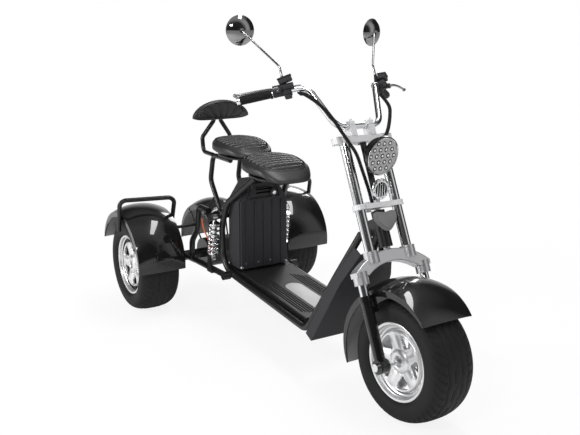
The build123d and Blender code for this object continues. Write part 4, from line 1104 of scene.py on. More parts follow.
@dataclass
class Seat(Cushion):
    """A padded seat with sewn cross channels, a piped border and smooth side bands.

    Attributes:
        border_front, border_back, band: where the channelled panel ends, in shares of the half sizes.
        droop, wedge: how far the nose sinks, and how far the whole top slopes down to the front, in metres.
        channels: the number of channels.
        plan, side, border_power: how square the plan, the side and the panel are.
        cuts: the fineness of the mesh.
        puff, ridge_power, level: the channels' height, how square they are, and the share of it below the top.
        piping, piping_half: the piping's height, and its half width as a share.
        hem, waist: how far the seam and the lower side are drawn in.
        reach: the share of the half length and half width that it fills.
        crown, belly: the shares of the half thickness that the top and the underside fill.
        taper, taper_back: how much narrower the front and the back are.
        fill: how full it is stuffed; not used.
    """

    border_front: float
    droop: float
    channels: int
    wedge: float
    plan: float = 3.1
    side: float = 3.8
    cuts: int = 76
    band: float = 0.86
    border_back: float = -0.86
    border_power: float = 4.0
    puff: float = 0.0135
    ridge_power: float = 3.4
    level: float = 0.75
    piping: float = 0.0042
    piping_half: float = 0.026
    hem: float = 0.003
    waist: float = 0.035
    reach: float = 0.99
    crown: float = 0.93
    belly: float = 0.97
    taper: float = 0.16
    taper_back: float = 0.08
    fill: float = 0.8

    def inside(self, x: float, y: float) -> float:
        """How far out a place lies in the channelled panel.

        Args:
            x, y: the place as shares of the half sizes.

        Returns:
            The measure, 1 on the piping and less inside it.
        """
        front, back = self.border_front, self.border_back
        along = (x - (front + back) / 2) / ((front - back) / 2)
        return norm(along, y / self.band, self.border_power)

    def off_ridge(self, x: float) -> float:
        """How far a place along the seat is from its channel's ridge, 1 in the seam."""
        phase = (x - self.border_back) / (self.border_front - self.border_back) * self.channels % 1.0
        return abs(2 * phase - 1)

    def relief(self, x: float, y: float) -> float:
        """The height of the top's sewing.

        Args:
            x, y: the place as shares of the half sizes.

        Returns:
            The height in metres.
        """
        border = self.inside(x, y)
        panel = 1 - step_between(border, 0.9, 0.99)
        ridge = 1 - self.off_ridge(x) ** self.ridge_power
        cord = 1 - step_between(abs(border - 1.0), self.piping_half * 0.3, self.piping_half)
        valley = 1 - step_between(abs(border - 0.955), 0.01, 0.04)
        return panel * (ridge - self.level) * self.puff + (cord - valley) * self.piping

    def sewn(self, point: Vector) -> float:
        """How far down in a channel or beside the piping a point lies.

        Args:
            point: a point of the unit cube's skin.

        Returns:
            The share, 1 at the bottom of a seam.
        """
        x, y, z = self.round_off(*point)
        border = self.inside(x, y)
        panel = 1 - step_between(border, 0.9, 0.97)
        beside = 1 - step_between(abs(border - 0.965), 0.008, 0.03)
        return step_between(z, 0.2, 0.5) * max(panel * self.off_ridge(x) ** 5, beside)

    def shape_point(self, point: Vector) -> Vector:
        """Moves a point of the unit cube's skin onto the seat.

        Args:
            point: the point.

        Returns:
            Its place on the seat.
        """
        x, y, z = self.round_off(*point)
        height = z * self.half.z * (self.crown if z > 0 else self.belly)
        height += step_between(z, 0.2, 0.6) * self.relief(x, y)
        height -= self.droop * step_between(x, 0.35, 1.0) * (0.4 + 0.6 * step_between(z, -1.0, 0.4))
        height -= self.wedge * (x + 1) / 2 * step_between(z, -0.9, 0.4)
        waist = 1 - self.waist * (1 - step_between(abs(z + 0.62), 0.0, 0.3))
        hem = -self.hem * (1 - step_between(abs(z + 0.8), 0.02, 0.08))
        reach = self.reach * waist + hem / self.half.x
        taper = 1 - self.taper * step_between(x, -0.2, 1.0) - self.taper_back * step_between(-x, 0.3, 1.0)
        return self.middle + Vector((x * self.half.x * reach, y * self.half.y * reach * taper, height))


@dataclass
class Backrest(Cushion):
    """A half-moon pad with pleats that fan out inside a piped border.

    Attributes:
        plan, side, arch: how square the plan, the side and the arch are.
        cuts: the fineness of the mesh.
        corner: the share of the height that its lower corners are rounded over.
        depth: the share of the half thickness that it fills.
        border: where the piping runs, as a share.
        pleats, fan: the number of pleats, and how far below the pad they meet, as a share.
        puff, piping: the heights of the pleats and of the piping.
        fill: how full it is stuffed; not used.
    """

    plan: float = 2.4
    side: float = 2.6
    cuts: int = 72
    arch: float = 0.56
    corner: float = 0.13
    depth: float = 0.96
    border: float = 0.8
    pleats: int = 13
    fan: float = 0.55
    puff: float = 0.003
    piping: float = 0.003
    fill: float = 0.85

    def relief(self, rim: float, share: float, y: float) -> float:
        """The height of the front's sewing.

        Args:
            rim: how far out the place lies, 1 on the rim.
            share: its height as a share.
            y: its place across as a share of the half width.

        Returns:
            The height in metres.
        """
        angle = math.atan2(share + self.fan, y) / math.pi * self.pleats % 1.0
        panel = 1 - step_between(rim, self.border - 0.09, self.border - 0.02)
        fade = step_between(rim, 0.05, 0.3)
        lift = panel * fade * (1 - abs(2 * angle - 1) ** 3 - 0.8) * self.puff
        lift += (1 - step_between(abs(rim - self.border), 0.006, 0.03)) * self.piping
        return lift - (1 - step_between(abs(rim - self.border + 0.05), 0.01, 0.03)) * self.piping * 0.8

    def shape_point(self, point: Vector) -> Vector:
        """Moves a point of the unit cube's skin onto the pad.

        Args:
            point: the point.

        Returns:
            Its place on the pad.
        """
        z, y, x = self.round_off(point.z, point.y, point.x)
        wide = min(abs(y), 1.0)
        reach = max(1 - abs(y) ** self.plan, MERGE) ** (1 / self.plan)
        share = min(max((z / reach + 1) / 2, 0.0), 1.0)
        low = self.corner * wide ** 6
        top = self.corner + (1 - self.corner) * (1 - wide ** 2) ** self.arch
        height = (low + (top - low) * share) * 2 * self.half.z
        lift = self.relief(norm(z, y, self.plan), share, y) if x > 0 else 0.0
        depth = x * self.half.x * self.depth + lift
        return Vector((self.middle.x + depth, y * self.half.y, self.low.z + height))


# Front end


def route(points: Points, step: float) -> list:
    """Rounds a route's corners and spaces its points evenly.

    Args:
        points: the route's corners.
        step: the distance between the new points.

    Returns:
        The new points.
    """
    path = [Vector(point) for point in points]
    for _ in range(4):
        inner = [low.lerp(high, share) for low, high in zip(path, path[1:]) for share in (0.25, 0.75)]
        path = [path[0], *inner[1:-1], path[-1]]
    spaced, left = [path[0]], step
    for low, high in zip(path, path[1:]):
        run = (high - low).length
        while left <= run:
            spaced.append(low.lerp(high, left / run))
            left += step
        left -= run
    return spaced


def quarter(axis: str, turns: int = 1) -> Matrix:
    """A turn by quarters about an axis."""
    return Matrix.Rotation(math.pi / 2 * turns, 4, axis)


def at(x: float, y: float, z: float) -> Matrix:
    """A move."""
    return Matrix.Translation((x, y, z))


# Turns a frame's XY plane upright, its X axis to Y and its Y axis to Z
UPRIGHT = Matrix(((0, 0, 1, 0), (1, 0, 0, 0), (0, 1, 0, 0), (0, 0, 0, 1)))


def facing(node: str, dip_deg: float = 0.0) -> Matrix:
    """A frame in the middle of a lamp on the steering.

    Args:
        node: the lamp's node.
        dip_deg: how far it looks down.

    Returns:
        The frame, its Y axis forwards and its X axis to the left.
    """
    low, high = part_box(node)
    turn = Matrix.Rotation(PARKED, 4, STEM) @ Matrix.Rotation(math.radians(dip_deg), 4, "Y")
    return Matrix.Translation((low + high) / 2) @ turn @ quarter("Z", -1)


@dataclass
class Headlight:
    """A round lamp face of hexagonal bowls, each with a small emitter.

    Attributes:
        dip_deg: how far the lamp looks down.
        radius, rim: the face's radius and the bright ring's inner one.
        rings, steps: the fineness of the face.
        rows, pitch: the number of bowls in each row, and from one to the next.
        bowl, wall: the bowls' depth, and the flat left at their rims.
        edge: how far inside the ring the bowls end.
        lamp, squash, lift: the emitters' radius, flatness and height over the bowls' depth.
        ring: the bright ring's section, (place along, place outside the rim) pairs.
    """

    dip_deg: float = 9.8
    radius: float = 0.0722
    rim: float = 0.0700
    rings: int = 54
    steps: int = 150
    rows: tuple = (3, 4, 5, 4, 3)
    pitch: float = 0.0285
    bowl: float = 0.0048
    wall: float = 0.0008
    edge: float = 0.001
    lamp: float = 0.0046
    squash: float = 0.7
    lift: float = 0.0025
    ring: tuple = ((-0.001, 0.0), (0.0035, 0.0006), (0.0045, 0.0022), (0.0035, 0.0038), (-0.001, 0.0042))

    def cells(self) -> list:
        """The middles of the bowls."""
        middles = []
        for row, count in enumerate(self.rows):
            height = (row - (len(self.rows) - 1) / 2) * self.pitch * math.sqrt(3) / 2
            middles += [((k - (count - 1) / 2) * self.pitch, height) for k in range(count)]
        return middles

    def press(self, point: Vector) -> Vector:
        """Presses the flat face into the nearest bowl.

        Args:
            point: a point of the flat face.

        Returns:
            Its new place.
        """
        if math.hypot(point.x, point.z) > self.rim - self.edge:
            return point
        nearest = min(math.hypot(point.x - x, point.z - z) for x, z in self.cells())
        share = nearest / (self.pitch / 2 - self.wall)
        return point - Vector((0, self.bowl * max(1 - share * share, 0.0), 0))

    def build(self) -> None:
        """Makes the lamp's face, its emitters and its bright ring."""
        place = facing("headlight_lens", self.dip_deg)
        rings = [(0.0, self.radius * k / self.rings) for k in range(self.rings + 1)]
        face = Shape().lathe(rings, self.steps).sway(self.press)
        face.add("headlight_reflector", Body.STEERING, Palette.lens, "lamp_lens", ["headlight_lens"], place,
                 crease=25.0)
        lamps = Shape()
        for x, z in self.cells():
            lamps.ball((x, self.lift - self.bowl, z), self.lamp, (1, self.squash, 1))
        lamps.add("headlight_emitters", Body.STEERING, Palette.emitter, "lamp_lens", (), place)
        ring = [(along, self.rim + out) for along, out in self.ring]
        Shape().lathe(ring, 120, closed=True).add(
            "headlight_ring", Body.STEERING, Palette.chrome, "chrome", (), place)


@dataclass
class Horn:
    """A round horn with a slotted bright ring and bars before a black membrane.

    Attributes:
        radius, inner, depth: the ring's outer and inner radius, and the body's depth.
        bars, bar, bar_depth: the number of bars, their width and depth.
        slots, slot: the number of dark slots in the ring, and the size of each.
    """

    radius: float = 0.0418
    inner: float = 0.0285
    depth: float = 0.0262
    bars: int = 4
    bar: float = 0.0038
    bar_depth: float = 0.0042
    slots: int = 12
    slot: tuple = (0.0062, 0.0016, 0.0040)

    def body(self) -> Shape:
        """The bright body with its ring and bars."""
        outer, inner = self.radius, self.inner
        shape = Shape().lathe([
            (-0.0070, inner), (-0.0006, inner), (0.0, inner + 0.0012), (-0.0004, outer - 0.0040),
            (-0.0024, outer - 0.0008), (-0.0052, outer), (-0.0088, outer), (-0.0094, outer * 0.9),
            (-0.0170, outer * 0.86), (-0.0200, outer * 0.5), (-self.depth, outer * 0.42), (-self.depth, 0.0),
            (-0.0070, 0.0), (-0.0070, inner),
        ], 96)
        pitch = 2 * inner / (self.bars + 1)
        for k in range(self.bars):
            x = (k - (self.bars - 1) / 2) * pitch
            half = math.sqrt(inner ** 2 - x ** 2) + 0.001
            shape.box((self.bar, self.bar_depth, 2 * half), at(x, -0.0025, 0), 0.0010, 2)
        return shape

    def membrane(self) -> Shape:
        """The black membrane, and the ring's slots."""
        inner = self.inner
        shape = Shape().lathe([
            (-0.0068, inner - 0.0002), (-0.0056, inner * 0.9), (-0.0062, inner * 0.5), (-0.0050, 0.006),
            (-0.0050, 0.0), (-0.0068, 0.0), (-0.0068, inner - 0.0002),
        ])
        for k in range(self.slots):
            turn = Matrix.Rotation(math.tau * (k + 0.5) / self.slots, 4, "Y")
            shape.box(self.slot, turn @ at((inner + self.radius) / 2 + 0.0004, -0.0006, 0), 0.0006, 1)
        return shape

    def build(self) -> None:
        """Makes the body and the membrane."""
        low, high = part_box("horn")
        front = high.x - self.radius * math.sin(PARKED)
        place = at(front - (low.x + high.x) / 2, 0, 0) @ facing("horn")
        self.body().add("horn_body", Body.STEERING, Palette.chrome, "chrome", ["horn"], place, crease=30.0)
        dark = self.membrane()
        dark.add("horn_membrane", Body.STEERING, Palette.satin, "frame_black", (), place, crease=30.0)


@dataclass
class BarEnd:
    """The grip, switches, brake lever and mirror boot at one end of the handlebar.

    They are drawn in a frame at the bar's end: X up, Y backwards, Z inwards along the bar.

    Attributes:
        side, mirrored: the side's name, and whether it is the right one.
        end, rise: the bar's end and the foot of its riser, in the left half of the fork's frame.
        bar: the bar's radius.
        grip, ribs, thick, groove: the grip's length, its number of ribs, their radius and that between them.
        grip_margin, flange: the smooth lengths at the grip's ends in all, and its flange's section.
        collar, collar_steps: where the collar starts, and its section from there.
        box_start, box_middle, box_size: where the switch box starts, its middle from there, and its size.
        seam: the size of the line where the box's halves meet.
        saddle, perch: the place and size of the box's underside and of the lever's perch.
        piston: the brake's cylinder: its place, its ends from the collar, and its radius.
        tank_place, tank_tilt_deg, tank_size: the brake fluid tank.
        lid_size, lid_height, screw: the tank's lid, and the place, heights and radius of its screws.
        blade: the lever's outline, (backwards, inwards from the collar) pairs.
        blade_depth, tip, pivot: the lever's thickness, its ball end and its pivot.
        knobs: the switch knobs, (up, inwards from the box's start, radius).
        boot_share, boot_steps: where the mirror stands along the bar, and its boot's heights and radii.
    """

    side: str
    mirrored: bool
    end: tuple = (-0.203, 0.373, 1.1065)
    rise: tuple = (-0.034, 0.172, 1.098)
    bar: float = 0.0127
    grip: float = 0.128
    ribs: int = 22
    thick: float = 0.0178
    groove: float = 0.0168
    grip_margin: tuple = (0.004, 0.010)
    flange: tuple = ((0.009, 0.0180), (0.008, 0.0198), (0.001, 0.0202), (0.0, 0.0190))
    collar: float = 0.131
    collar_steps: tuple = (
        (0.0, 0.0180), (0.002, 0.0190), (0.018, 0.0190), (0.0195, 0.0178), (0.021, 0.0190), (0.038, 0.0190),
        (0.040, 0.0180),
    )
    box_start: float = 0.171
    box_middle: float = 0.017
    box_size: tuple = (0.042, 0.044, 0.033)
    seam: tuple = (0.0448, 0.0012, 0.0338)
    saddle: tuple = ((-0.026, -0.004), (0.017, 0.024, 0.028))
    perch: tuple = ((0.0, -0.030, 0.024), (0.015, 0.030, 0.028))
    piston: tuple = (0.009, -0.027, 0.004, 0.086, 0.0112)
    tank_place: tuple = (0.0325, -0.029, 0.058)
    tank_tilt_deg: tuple = (9.0, -7.0)
    tank_size: tuple = (0.020, 0.034, 0.054)
    lid_size: tuple = (0.0042, 0.0375, 0.0575)
    lid_height: float = 0.0118
    screw: tuple = (0.021, 0.001, 0.0034, 0.0032)
    blade: tuple = (
        (-0.040, 0.030), (-0.050, 0.034), (-0.062, 0.018), (-0.071, -0.010), (-0.078, -0.050),
        (-0.082, -0.090), (-0.086, -0.135), (-0.078, -0.135), (-0.074, -0.088), (-0.069, -0.046),
        (-0.061, -0.006), (-0.050, 0.010), (-0.039, 0.014),
    )
    blade_depth: float = 0.0076
    tip: tuple = (0.0, -0.0822, -0.004, 0.0078)
    pivot: tuple = (0.011, -0.043, 0.024, 0.0062)
    knobs: tuple = ((0.011, 0.010, 0.0052), (-0.004, 0.017, 0.0042), (-0.014, 0.009, 0.0036))
    boot_share: float = 0.68
    boot_steps: tuple = ((0.002, 0.011, 0.0125, 0.0125, 6), (0.011, 0.019, 0.0112, 0.0104, 24),
                         (0.019, 0.046, 0.0104, 0.0058, 24))

    def place(self) -> Matrix:
        """The frame at the bar's end."""
        end, rise = Vector(self.end), Vector(self.rise)
        inward = (rise - end).normalized()
        back = inward.cross(Vector((0, 0, 1))).normalized()
        turn = Matrix((back.cross(inward), back, inward)).transposed().to_4x4()
        flip = Matrix.Diagonal((1, -1 if self.mirrored else 1, 1, 1))
        return FORK @ flip @ Matrix.Translation(end) @ turn

    def add(self, shape: Shape, name: str, finish: Finish, slot: str, replaces: Sequence[str] = ()) -> None:
        """Adds a piece of this side.

        Args:
            shape: its mesh in the frame at the bar's end.
            name: its name without the side.
            finish, slot: its material and the record's slot.
            replaces: the frame's nodes that it stands for.
        """
        shape.add(f"{name}_{self.side}", Body.STEERING, finish, slot, replaces, self.place(), crease=32.0)

    def rubber(self) -> Shape:
        """The ribbed grip."""
        profile = [(0.0, self.bar), (0.0, self.thick - 0.0006)]
        step = (self.grip - sum(self.grip_margin)) / self.ribs
        for k in range(self.ribs):
            start = self.grip_margin[0] + k * step
            profile += [(start, self.thick), (start + step * 0.62, self.thick)]
            profile += [(start + step * 0.72, self.groove), (start + step * 0.9, self.groove)]
        profile += [(self.grip - back, radius) for back, radius in self.flange] + [(self.grip, self.bar)]
        return Shape().lathe(profile, 48, quarter("X"), closed=True)

    def housing(self) -> Shape:
        """The collar, the switch box and the brake's perch."""
        start = self.collar
        steps = [(start + along, radius) for along, radius in self.collar_steps]
        profile = [(steps[0][0], self.bar), *steps, (steps[-1][0], self.bar)]
        shape = Shape().lathe(profile, 48, quarter("X"), closed=True)
        level = self.box_start + self.box_middle
        shape.box(self.box_size, at(0.001, 0.0, level), 0.006, 3)
        shape.box(self.seam, at(0.001, 0.0, level), 0.0004, 1)
        (x, y), size = self.saddle
        shape.box(size, at(x, y, level), 0.004, 3)
        (x, y, z), size = self.perch
        shape.box(size, at(x, y, start + z), 0.004, 3)
        x, y, low, high, radius = self.piston
        return shape.rod((x, y, start + low), (x, y, start + high), radius, sides=32, bevel=0.002)

    def tank(self) -> Shape:
        """The tilted brake fluid tank with its screwed lid."""
        roll, yaw = (math.radians(angle) for angle in self.tank_tilt_deg)
        tilt = Matrix.Rotation(roll, 4, "Y") @ Matrix.Rotation(yaw, 4, "Z")
        x, y, z = self.tank_place
        place = at(x, y, self.collar + z) @ tilt
        lid = place @ at(self.lid_height, 0, 0)
        shape = Shape().box(self.tank_size, place, 0.005, 3).box(self.lid_size, lid, 0.0018, 2)
        reach, low, high, radius = self.screw
        for z in (-reach, reach):
            shape.rod(lid @ Vector((low, 0, z)), lid @ Vector((high, 0, z)), radius, sides=6)
        return shape

    def lever(self) -> Shape:
        """The brake lever with its ball end and pivot."""
        start = self.collar
        blade = [(back, start + inwards) for back, inwards in self.blade]
        shape = Shape().outline(blade, at(-self.blade_depth / 2, 0, 0) @ UPRIGHT, self.blade_depth, 0.0022)
        *tip, radius = self.tip
        shape.ball(tip, radius, (1, 1, 1.15))
        half, y, z, radius = self.pivot
        return shape.rod((-half, y, start + z), (half, y, start + z), radius, sides=6, bevel=0.001)

    def buttons(self) -> Shape:
        """The switch knobs on the box's back, and the cable ferrule."""
        shape = Shape()
        for x, z, radius in self.knobs:
            middle = Vector((x, 0.0215, self.box_start + z))
            shape.rod(middle, middle + Vector((0, 0.0045, 0)), radius, sides=20, bevel=0.001)
        return shape.box((0.009, 0.005, 0.006), at(0.010, 0.0235, self.box_start + 0.024), 0.0015, 2)

    def boot(self) -> Shape:
        """The rubber boot and nut under the mirror's stem, upright in the fork's frame."""
        end, rise = Vector(self.end), Vector(self.rise)
        foot = end + (rise - end) * self.boot_share + Vector((0, 0, self.bar + 0.0004))
        if self.mirrored:
            foot.y = -foot.y
        shape = Shape()
        for low, high, radius, tip, sides in self.boot_steps:
            shape.rod(foot + Vector((0, 0, low)), foot + Vector((0, 0, high)), radius, tip, sides, 0.001)
        return shape

    def build(self) -> None:
        """Makes this side's pieces."""
        stands_for = () if self.mirrored else ["grips"]
        self.add(self.rubber(), "grip_rubber", Palette.rubber, "black_rubber", stands_for)
        self.add(self.housing(), "switch_box", Palette.plastic, "black_plastic", [f"controls_{self.side}"])
        self.add(self.tank(), "brake_tank", Palette.plastic, "black_plastic")
        self.add(self.lever(), "brake_lever", Palette.steel, "steel")
        self.add(self.buttons(), "switch_knobs", Palette.grey_plastic, "black_plastic")
        boot = f"mirror_boot_{self.side}"
        self.boot().add(boot, Body.STEERING, Palette.rubber, "black_rubber", (), FORK, crease=30.0)


@dataclass
class Looms:
    """The ribbed cable looms from the switches down to the lamps, held all the way.

    Attributes:
        radius, rib, step: the looms' radius, how deep their ribs are, and from ring to ring.
        right, left, hose: the routes, in millimetres in the fork's frame.
        hose_radius: the thin hose's radius.
    """

    radius: float = 0.0075
    rib: float = 0.0022
    step: float = 0.0018
    right: tuple = (
        (-54, -195, 1078), (-24, -194, 1062), (10, -160, 1006), (26, -126, 938), (48, -120, 880),
        (47, -95, 835), (42, -69, 794), (34, -56, 738), (25, -43, 692), (15, -30, 650), (15, -30, 602),
    )
    hose: tuple = ((-64, -196, 1084), (-42, -199, 1062), (-21, -195, 1070), (4, -164, 1019))
    hose_radius: float = 0.0035
    left: tuple = (
        (-62, 214, 1062), (-52, 220, 1040), (-38, 228, 1000), (-8, 188, 950), (40, 124, 893), (53, 88, 855),
        (48, 48, 822), (62, 22, 798),
    )

    def build(self) -> None:
        """Makes the looms, whose every third ring is drawn in."""
        shape = Shape()
        for corners, radius, rib in (
            (self.right, self.radius, self.rib),
            (self.left, self.radius, self.rib),
            (self.hose, self.hose_radius, 0.0),
        ):
            points = route([Vector(corner) * MM for corner in corners], self.step)
            shape.tube(points, [radius - rib * (k % 3 == 0) for k in range(len(points))])
        shape.add("loom_tubes", Body.STEERING, Palette.rubber, "black_rubber", ["cable_looms"], FORK,
                  crease=35.0)


@dataclass
class Bolts:
    """Rows of domed bolt heads with a socket.

    Attributes:
        head: the head's section, (share of its height, share of its radius) pairs.
        cover, corner, crown: the rows, (place along, places across, height, radius, thickness), from the rear
            axle and the ground or, for the crown, in the fork's frame.
    """

    head: tuple = ((0.0, 1.0), (0.55, 1.0), (0.9, 0.82), (1.0, 0.6), (1.0, 0.45), (0.5, 0.4), (0.5, 0.0))
    cover: tuple = (0.5185, (-0.100, -0.034, 0.032, 0.098), 0.318, 0.0048, 0.0034)
    corner: tuple = (0.512, (-0.1215, 0.1215), 0.300, 0.0075, 0.0065)
    crown: tuple = (0.0, (-0.012, 0.012), 0.8675, 0.0075, 0.006)

    def row(self, spots: tuple, upright: bool = False) -> Shape:
        """Makes one row of heads.

        Args:
            spots: one of the rows.
            upright: whether the heads face up, and not forwards.

        Returns:
            The row's shape.
        """
        x, across, height, radius, thickness = spots
        turn = quarter("X") if upright else quarter("Z", -1)
        shape = Shape()
        for y in across:
            profile = [(share * thickness, width * radius) for share, width in self.head]
            shape.lathe(profile, 24, at(x, y, height) @ turn)
        return shape

    def build(self) -> None:
        """Makes all bolts."""
        axle = at(REAR.x, 0, 0)
        for name, shape, body, finish, place in (
            ("cover_bolts", self.row(self.cover), Body.CHASSIS, Palette.grey_plastic, axle),
            ("corner_bolts", self.row(self.corner), Body.CHASSIS, Palette.cast, axle),
            ("crown_bolts", self.row(self.crown, True), Body.STEERING, Palette.chrome, FORK),
        ):
            shape.add(name, body, finish, "steel", (), place, crease=35.0)


@dataclass
class Mudguard:
    """The middle rear mudguard behind the battery, with its stays, and the cable at the shock's top.

    Attributes:
        start_deg, end_deg, half, radius: the shell's angles, half width and inner radius.
        stay, knob, out: the stays' radius, their balls' radius, and how far outside the shell's edge these lie.
        feet: each pair of stays, (forwards from the axle, across, height, angle where it meets the shell).
        lead, lead_radius: the cable's route and radius.
    """

    start_deg: float = 62.0
    end_deg: float = 172.0
    half: float = 0.105
    radius: float = 0.2385
    stay: float = 0.0045
    knob: float = 0.007
    out: float = 0.006
    feet: tuple = ((-0.030, 0.080, 0.306, 118.0), (0.147, 0.078, 0.580, 72.0))
    lead: tuple = (
        (-0.566, -0.206, 0.500), (-0.545, -0.214, 0.474), (-0.512, -0.222, 0.452), (-0.490, -0.214, 0.420),
        (-0.480, -0.196, 0.360),
    )
    lead_radius: float = 0.0036

    def rim(self, angle_deg: float, y: float) -> Vector:
        """A point on the shell's side edge.

        Args:
            angle_deg: its angle from straight ahead.
            y: its place across.

        Returns:
            The point in the shared frame.
        """
        angle = math.radians(angle_deg)
        reach = self.radius + self.out
        return Vector((REAR.x + reach * math.cos(angle), y, REAR.z + reach * math.sin(angle)))

    def build(self) -> None:
        """Makes the mudguard and what holds it."""
        Fender(
            "middle_mudguard", Body.CHASSIS, Vector((REAR.x, 0, REAR.z)), self.start_deg, self.end_deg,
            edge=self.radius, half=self.half, in_frame=False,
        ).build()
        stays = Shape()
        for side in (-1, 1):
            edge = side * (self.half - 0.002)
            for x, y, z, angle in self.feet:
                stays.rod((REAR.x + x, side * y, z), self.rim(angle, edge), self.stay)
                stays.ball(self.rim(angle, edge), self.knob)
        stays.add("mudguard_stays", Body.CHASSIS, Palette.satin, "frame_black")
        lead = Shape().tube(self.lead, [self.lead_radius] * len(self.lead), smooth=True)
        lead.add("orange_lead", Body.CHASSIS, Palette.orange, "black_rubber")


@dataclass
class FloorMat:
    """A rubber mat with long rounded grooves on both sides of a bright pad.

    Attributes:
        floor: the floor's rear and front end, (forwards from the rear axle, height) in millimetres.
        steps_along, steps_across: the fineness of the mat's sheet.
        thickness, sheet, half: the mat's height over the floor, its wall and its half width.
        margin: how far its ends stay inside the node's.
        lip, lip_depth: how wide and how deep its rounded sides are.
        groove, groove_half: the grooves' depth and half width.
        inner, pitch, count: the inner groove's place across, from one to the next, and how many on each side.
        rear, front, rear_step, front_step: where the inner groove ends, and how much sooner each next one does.
        pad_half, pad_rear, pad_front, pad_depth, pad_sink: the pad's half width, ends, thickness and sink.
    """

    floor: tuple = ((392, 292), (1112, 238))
    steps_along: int = 260
    steps_across: int = 150
    thickness: float = 0.006
    sheet: float = 0.002
    half: float = 0.1385
    margin: float = 0.0005
    lip: float = 0.004
    lip_depth: float = 0.003
    groove: float = 0.0034
    groove_half: float = 0.0034
    inner: float = 0.062
    pitch: float = 0.0135
    count: int = 5
    rear: float = -0.165
    front: float = 0.262
    rear_step: float = 0.012
    front_step: float = 0.010
    pad_half: float = 0.043
    pad_rear: float = -0.066
    pad_front: float = 0.236
    pad_depth: float = 0.0022
    pad_sink: float = 0.0004

    def surface(self, x: float) -> float:
        """The height of the mat's upper side along the floor."""
        low, high = (model(along, 0, height) for along, height in self.floor)
        return low.z + (high.z - low.z) * (x - low.x) / (high.x - low.x) + self.thickness

    def cut(self, x: float, y: float) -> float:
        """How deep the grooves are at a place.

        Args:
            x, y: the place.

        Returns:
            The share of the full depth.
        """
        deepest = 0.0
        for k in range(self.count):
            line = self.inner + k * self.pitch
            beyond = max(self.rear + self.rear_step * k - x, x - self.front + self.front_step * k, 0.0)
            away = math.hypot(abs(y) - line, beyond)
            deepest = max(deepest, 1 - step_between(away, self.groove_half * 0.55, self.groove_half * 1.35))
        return deepest

    def press(self, point: Vector) -> Vector:
        """Moves a point of the flat sheet onto the mat.

        Args:
            point: the point.

        Returns:
            Its place on the mat.
        """
        x, y, _ = point
        rim = 1 - step_between(self.half - abs(y), 0.0, self.lip)
        return Vector((x, y, self.surface(x) - self.groove * self.cut(x, y) - self.lip_depth * rim))

    def mat(self) -> Shape:
        """The grooved sheet."""
        low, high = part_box("floor_mat")
        size = Matrix.Diagonal(((high.x - low.x) / 2 - self.margin, self.half, 1.0, 1.0))
        place = at((low.x + high.x) / 2, 0, 0) @ size
        shape = Shape()
        bmesh.ops.create_grid(
            shape.mesh, x_segments=self.steps_along, y_segments=self.steps_across, size=1.0, matrix=place,
        )
        return shape.sway(self.press)

    def pad(self) -> Shape:
        """The pad, straight at the front and round at the rear."""
        corners = [(self.pad_front, -self.pad_half), (self.pad_front, self.pad_half)]
        for k in range(25):
            turn = math.pi / 2 + math.pi * k / 24
            x = self.pad_rear + self.pad_half + self.pad_half * math.cos(turn)
            corners.append((x, self.pad_half * math.sin(turn)))
        run = 0.2
        slope = math.atan2(self.surface(0.0) - self.surface(run), run)
        place = at(0, 0, self.surface(0.0) - self.pad_sink) @ Matrix.Rotation(slope, 4, "Y")
        return Shape().outline(corners, place, self.pad_depth, 0.0008)

    def build(self) -> None:
        """Makes the mat and its pad."""
        thick = [("SOLIDIFY", {"thickness": self.sheet, "offset": -1.0})]
        self.mat().add(
            "mat_sheet", Body.CHASSIS, Palette.mat, "black_rubber", ["floor_mat"], modifiers=thick, crease=50.0)
        self.pad().add("pad_plate", Body.CHASSIS, Palette.silver, "silver_plate", ["floor_pad"], crease=30.0)


@dataclass
class HeadCover:
    """The rounded plate before the head tube with its paler V-shaped inlay, in the fork's frame.

    Attributes:
        front, thickness: the plate's front side and how thick it is.
        top, point, half: its top, its lower point and its half width.
        inlay_margin, inlay_depth: how far inside the plate's outline the inlay stays, and how thick it is.
    """

    front: float = 0.041
    thickness: float = 0.014
    top: float = 0.564
    point: float = 0.484
    half: float = 0.056
    inlay_margin: float = 0.010
    inlay_depth: float = 0.0028

    def plate(self, margin: float, back: float, depth: float) -> Shape:
        """A plate of the cover's outline with rounded corners.

        Args:
            margin: how far the outline is drawn in.
            back: how far behind the cover's front it starts.
            depth: how thick it is.

        Returns:
            The plate.
        """
        half, top, low = self.half - margin, self.top - margin, self.point + margin
        shoulder = top - (top - low) * 0.48
        rough = [(0, top - 0.007), (half * 0.55, top), (half, top - 0.003), (half, shoulder),
                 (half * 0.3, low + 0.004), (0, low)]
        loop = [Vector(corner) for corner in rough + [(-y, s) for y, s in reversed(rough[1:-1])]]
        for _ in range(3):
            loop = [a.lerp(b, share) for a, b in zip(loop, loop[1:] + loop[:1]) for share in (0.25, 0.75)]
        place = FORK @ at(self.front - back, 0, 0) @ UPRIGHT
        return Shape().outline(loop, place, depth, min(depth * 0.35, 0.004))

    def build(self) -> None:
        """Makes the plate and its inlay."""
        plate = self.plate(0.0, self.thickness, self.thickness)
        plate.add("head_plate", Body.CHASSIS, Palette.grey_plastic, "grey_plastic", ["head_cover"], crease=30.0)
        inlay = self.plate(self.inlay_margin, 0.0, self.inlay_depth)
        inlay.add("head_inlay", Body.CHASSIS, Palette.pale_plastic, "grey_plastic", crease=30.0)


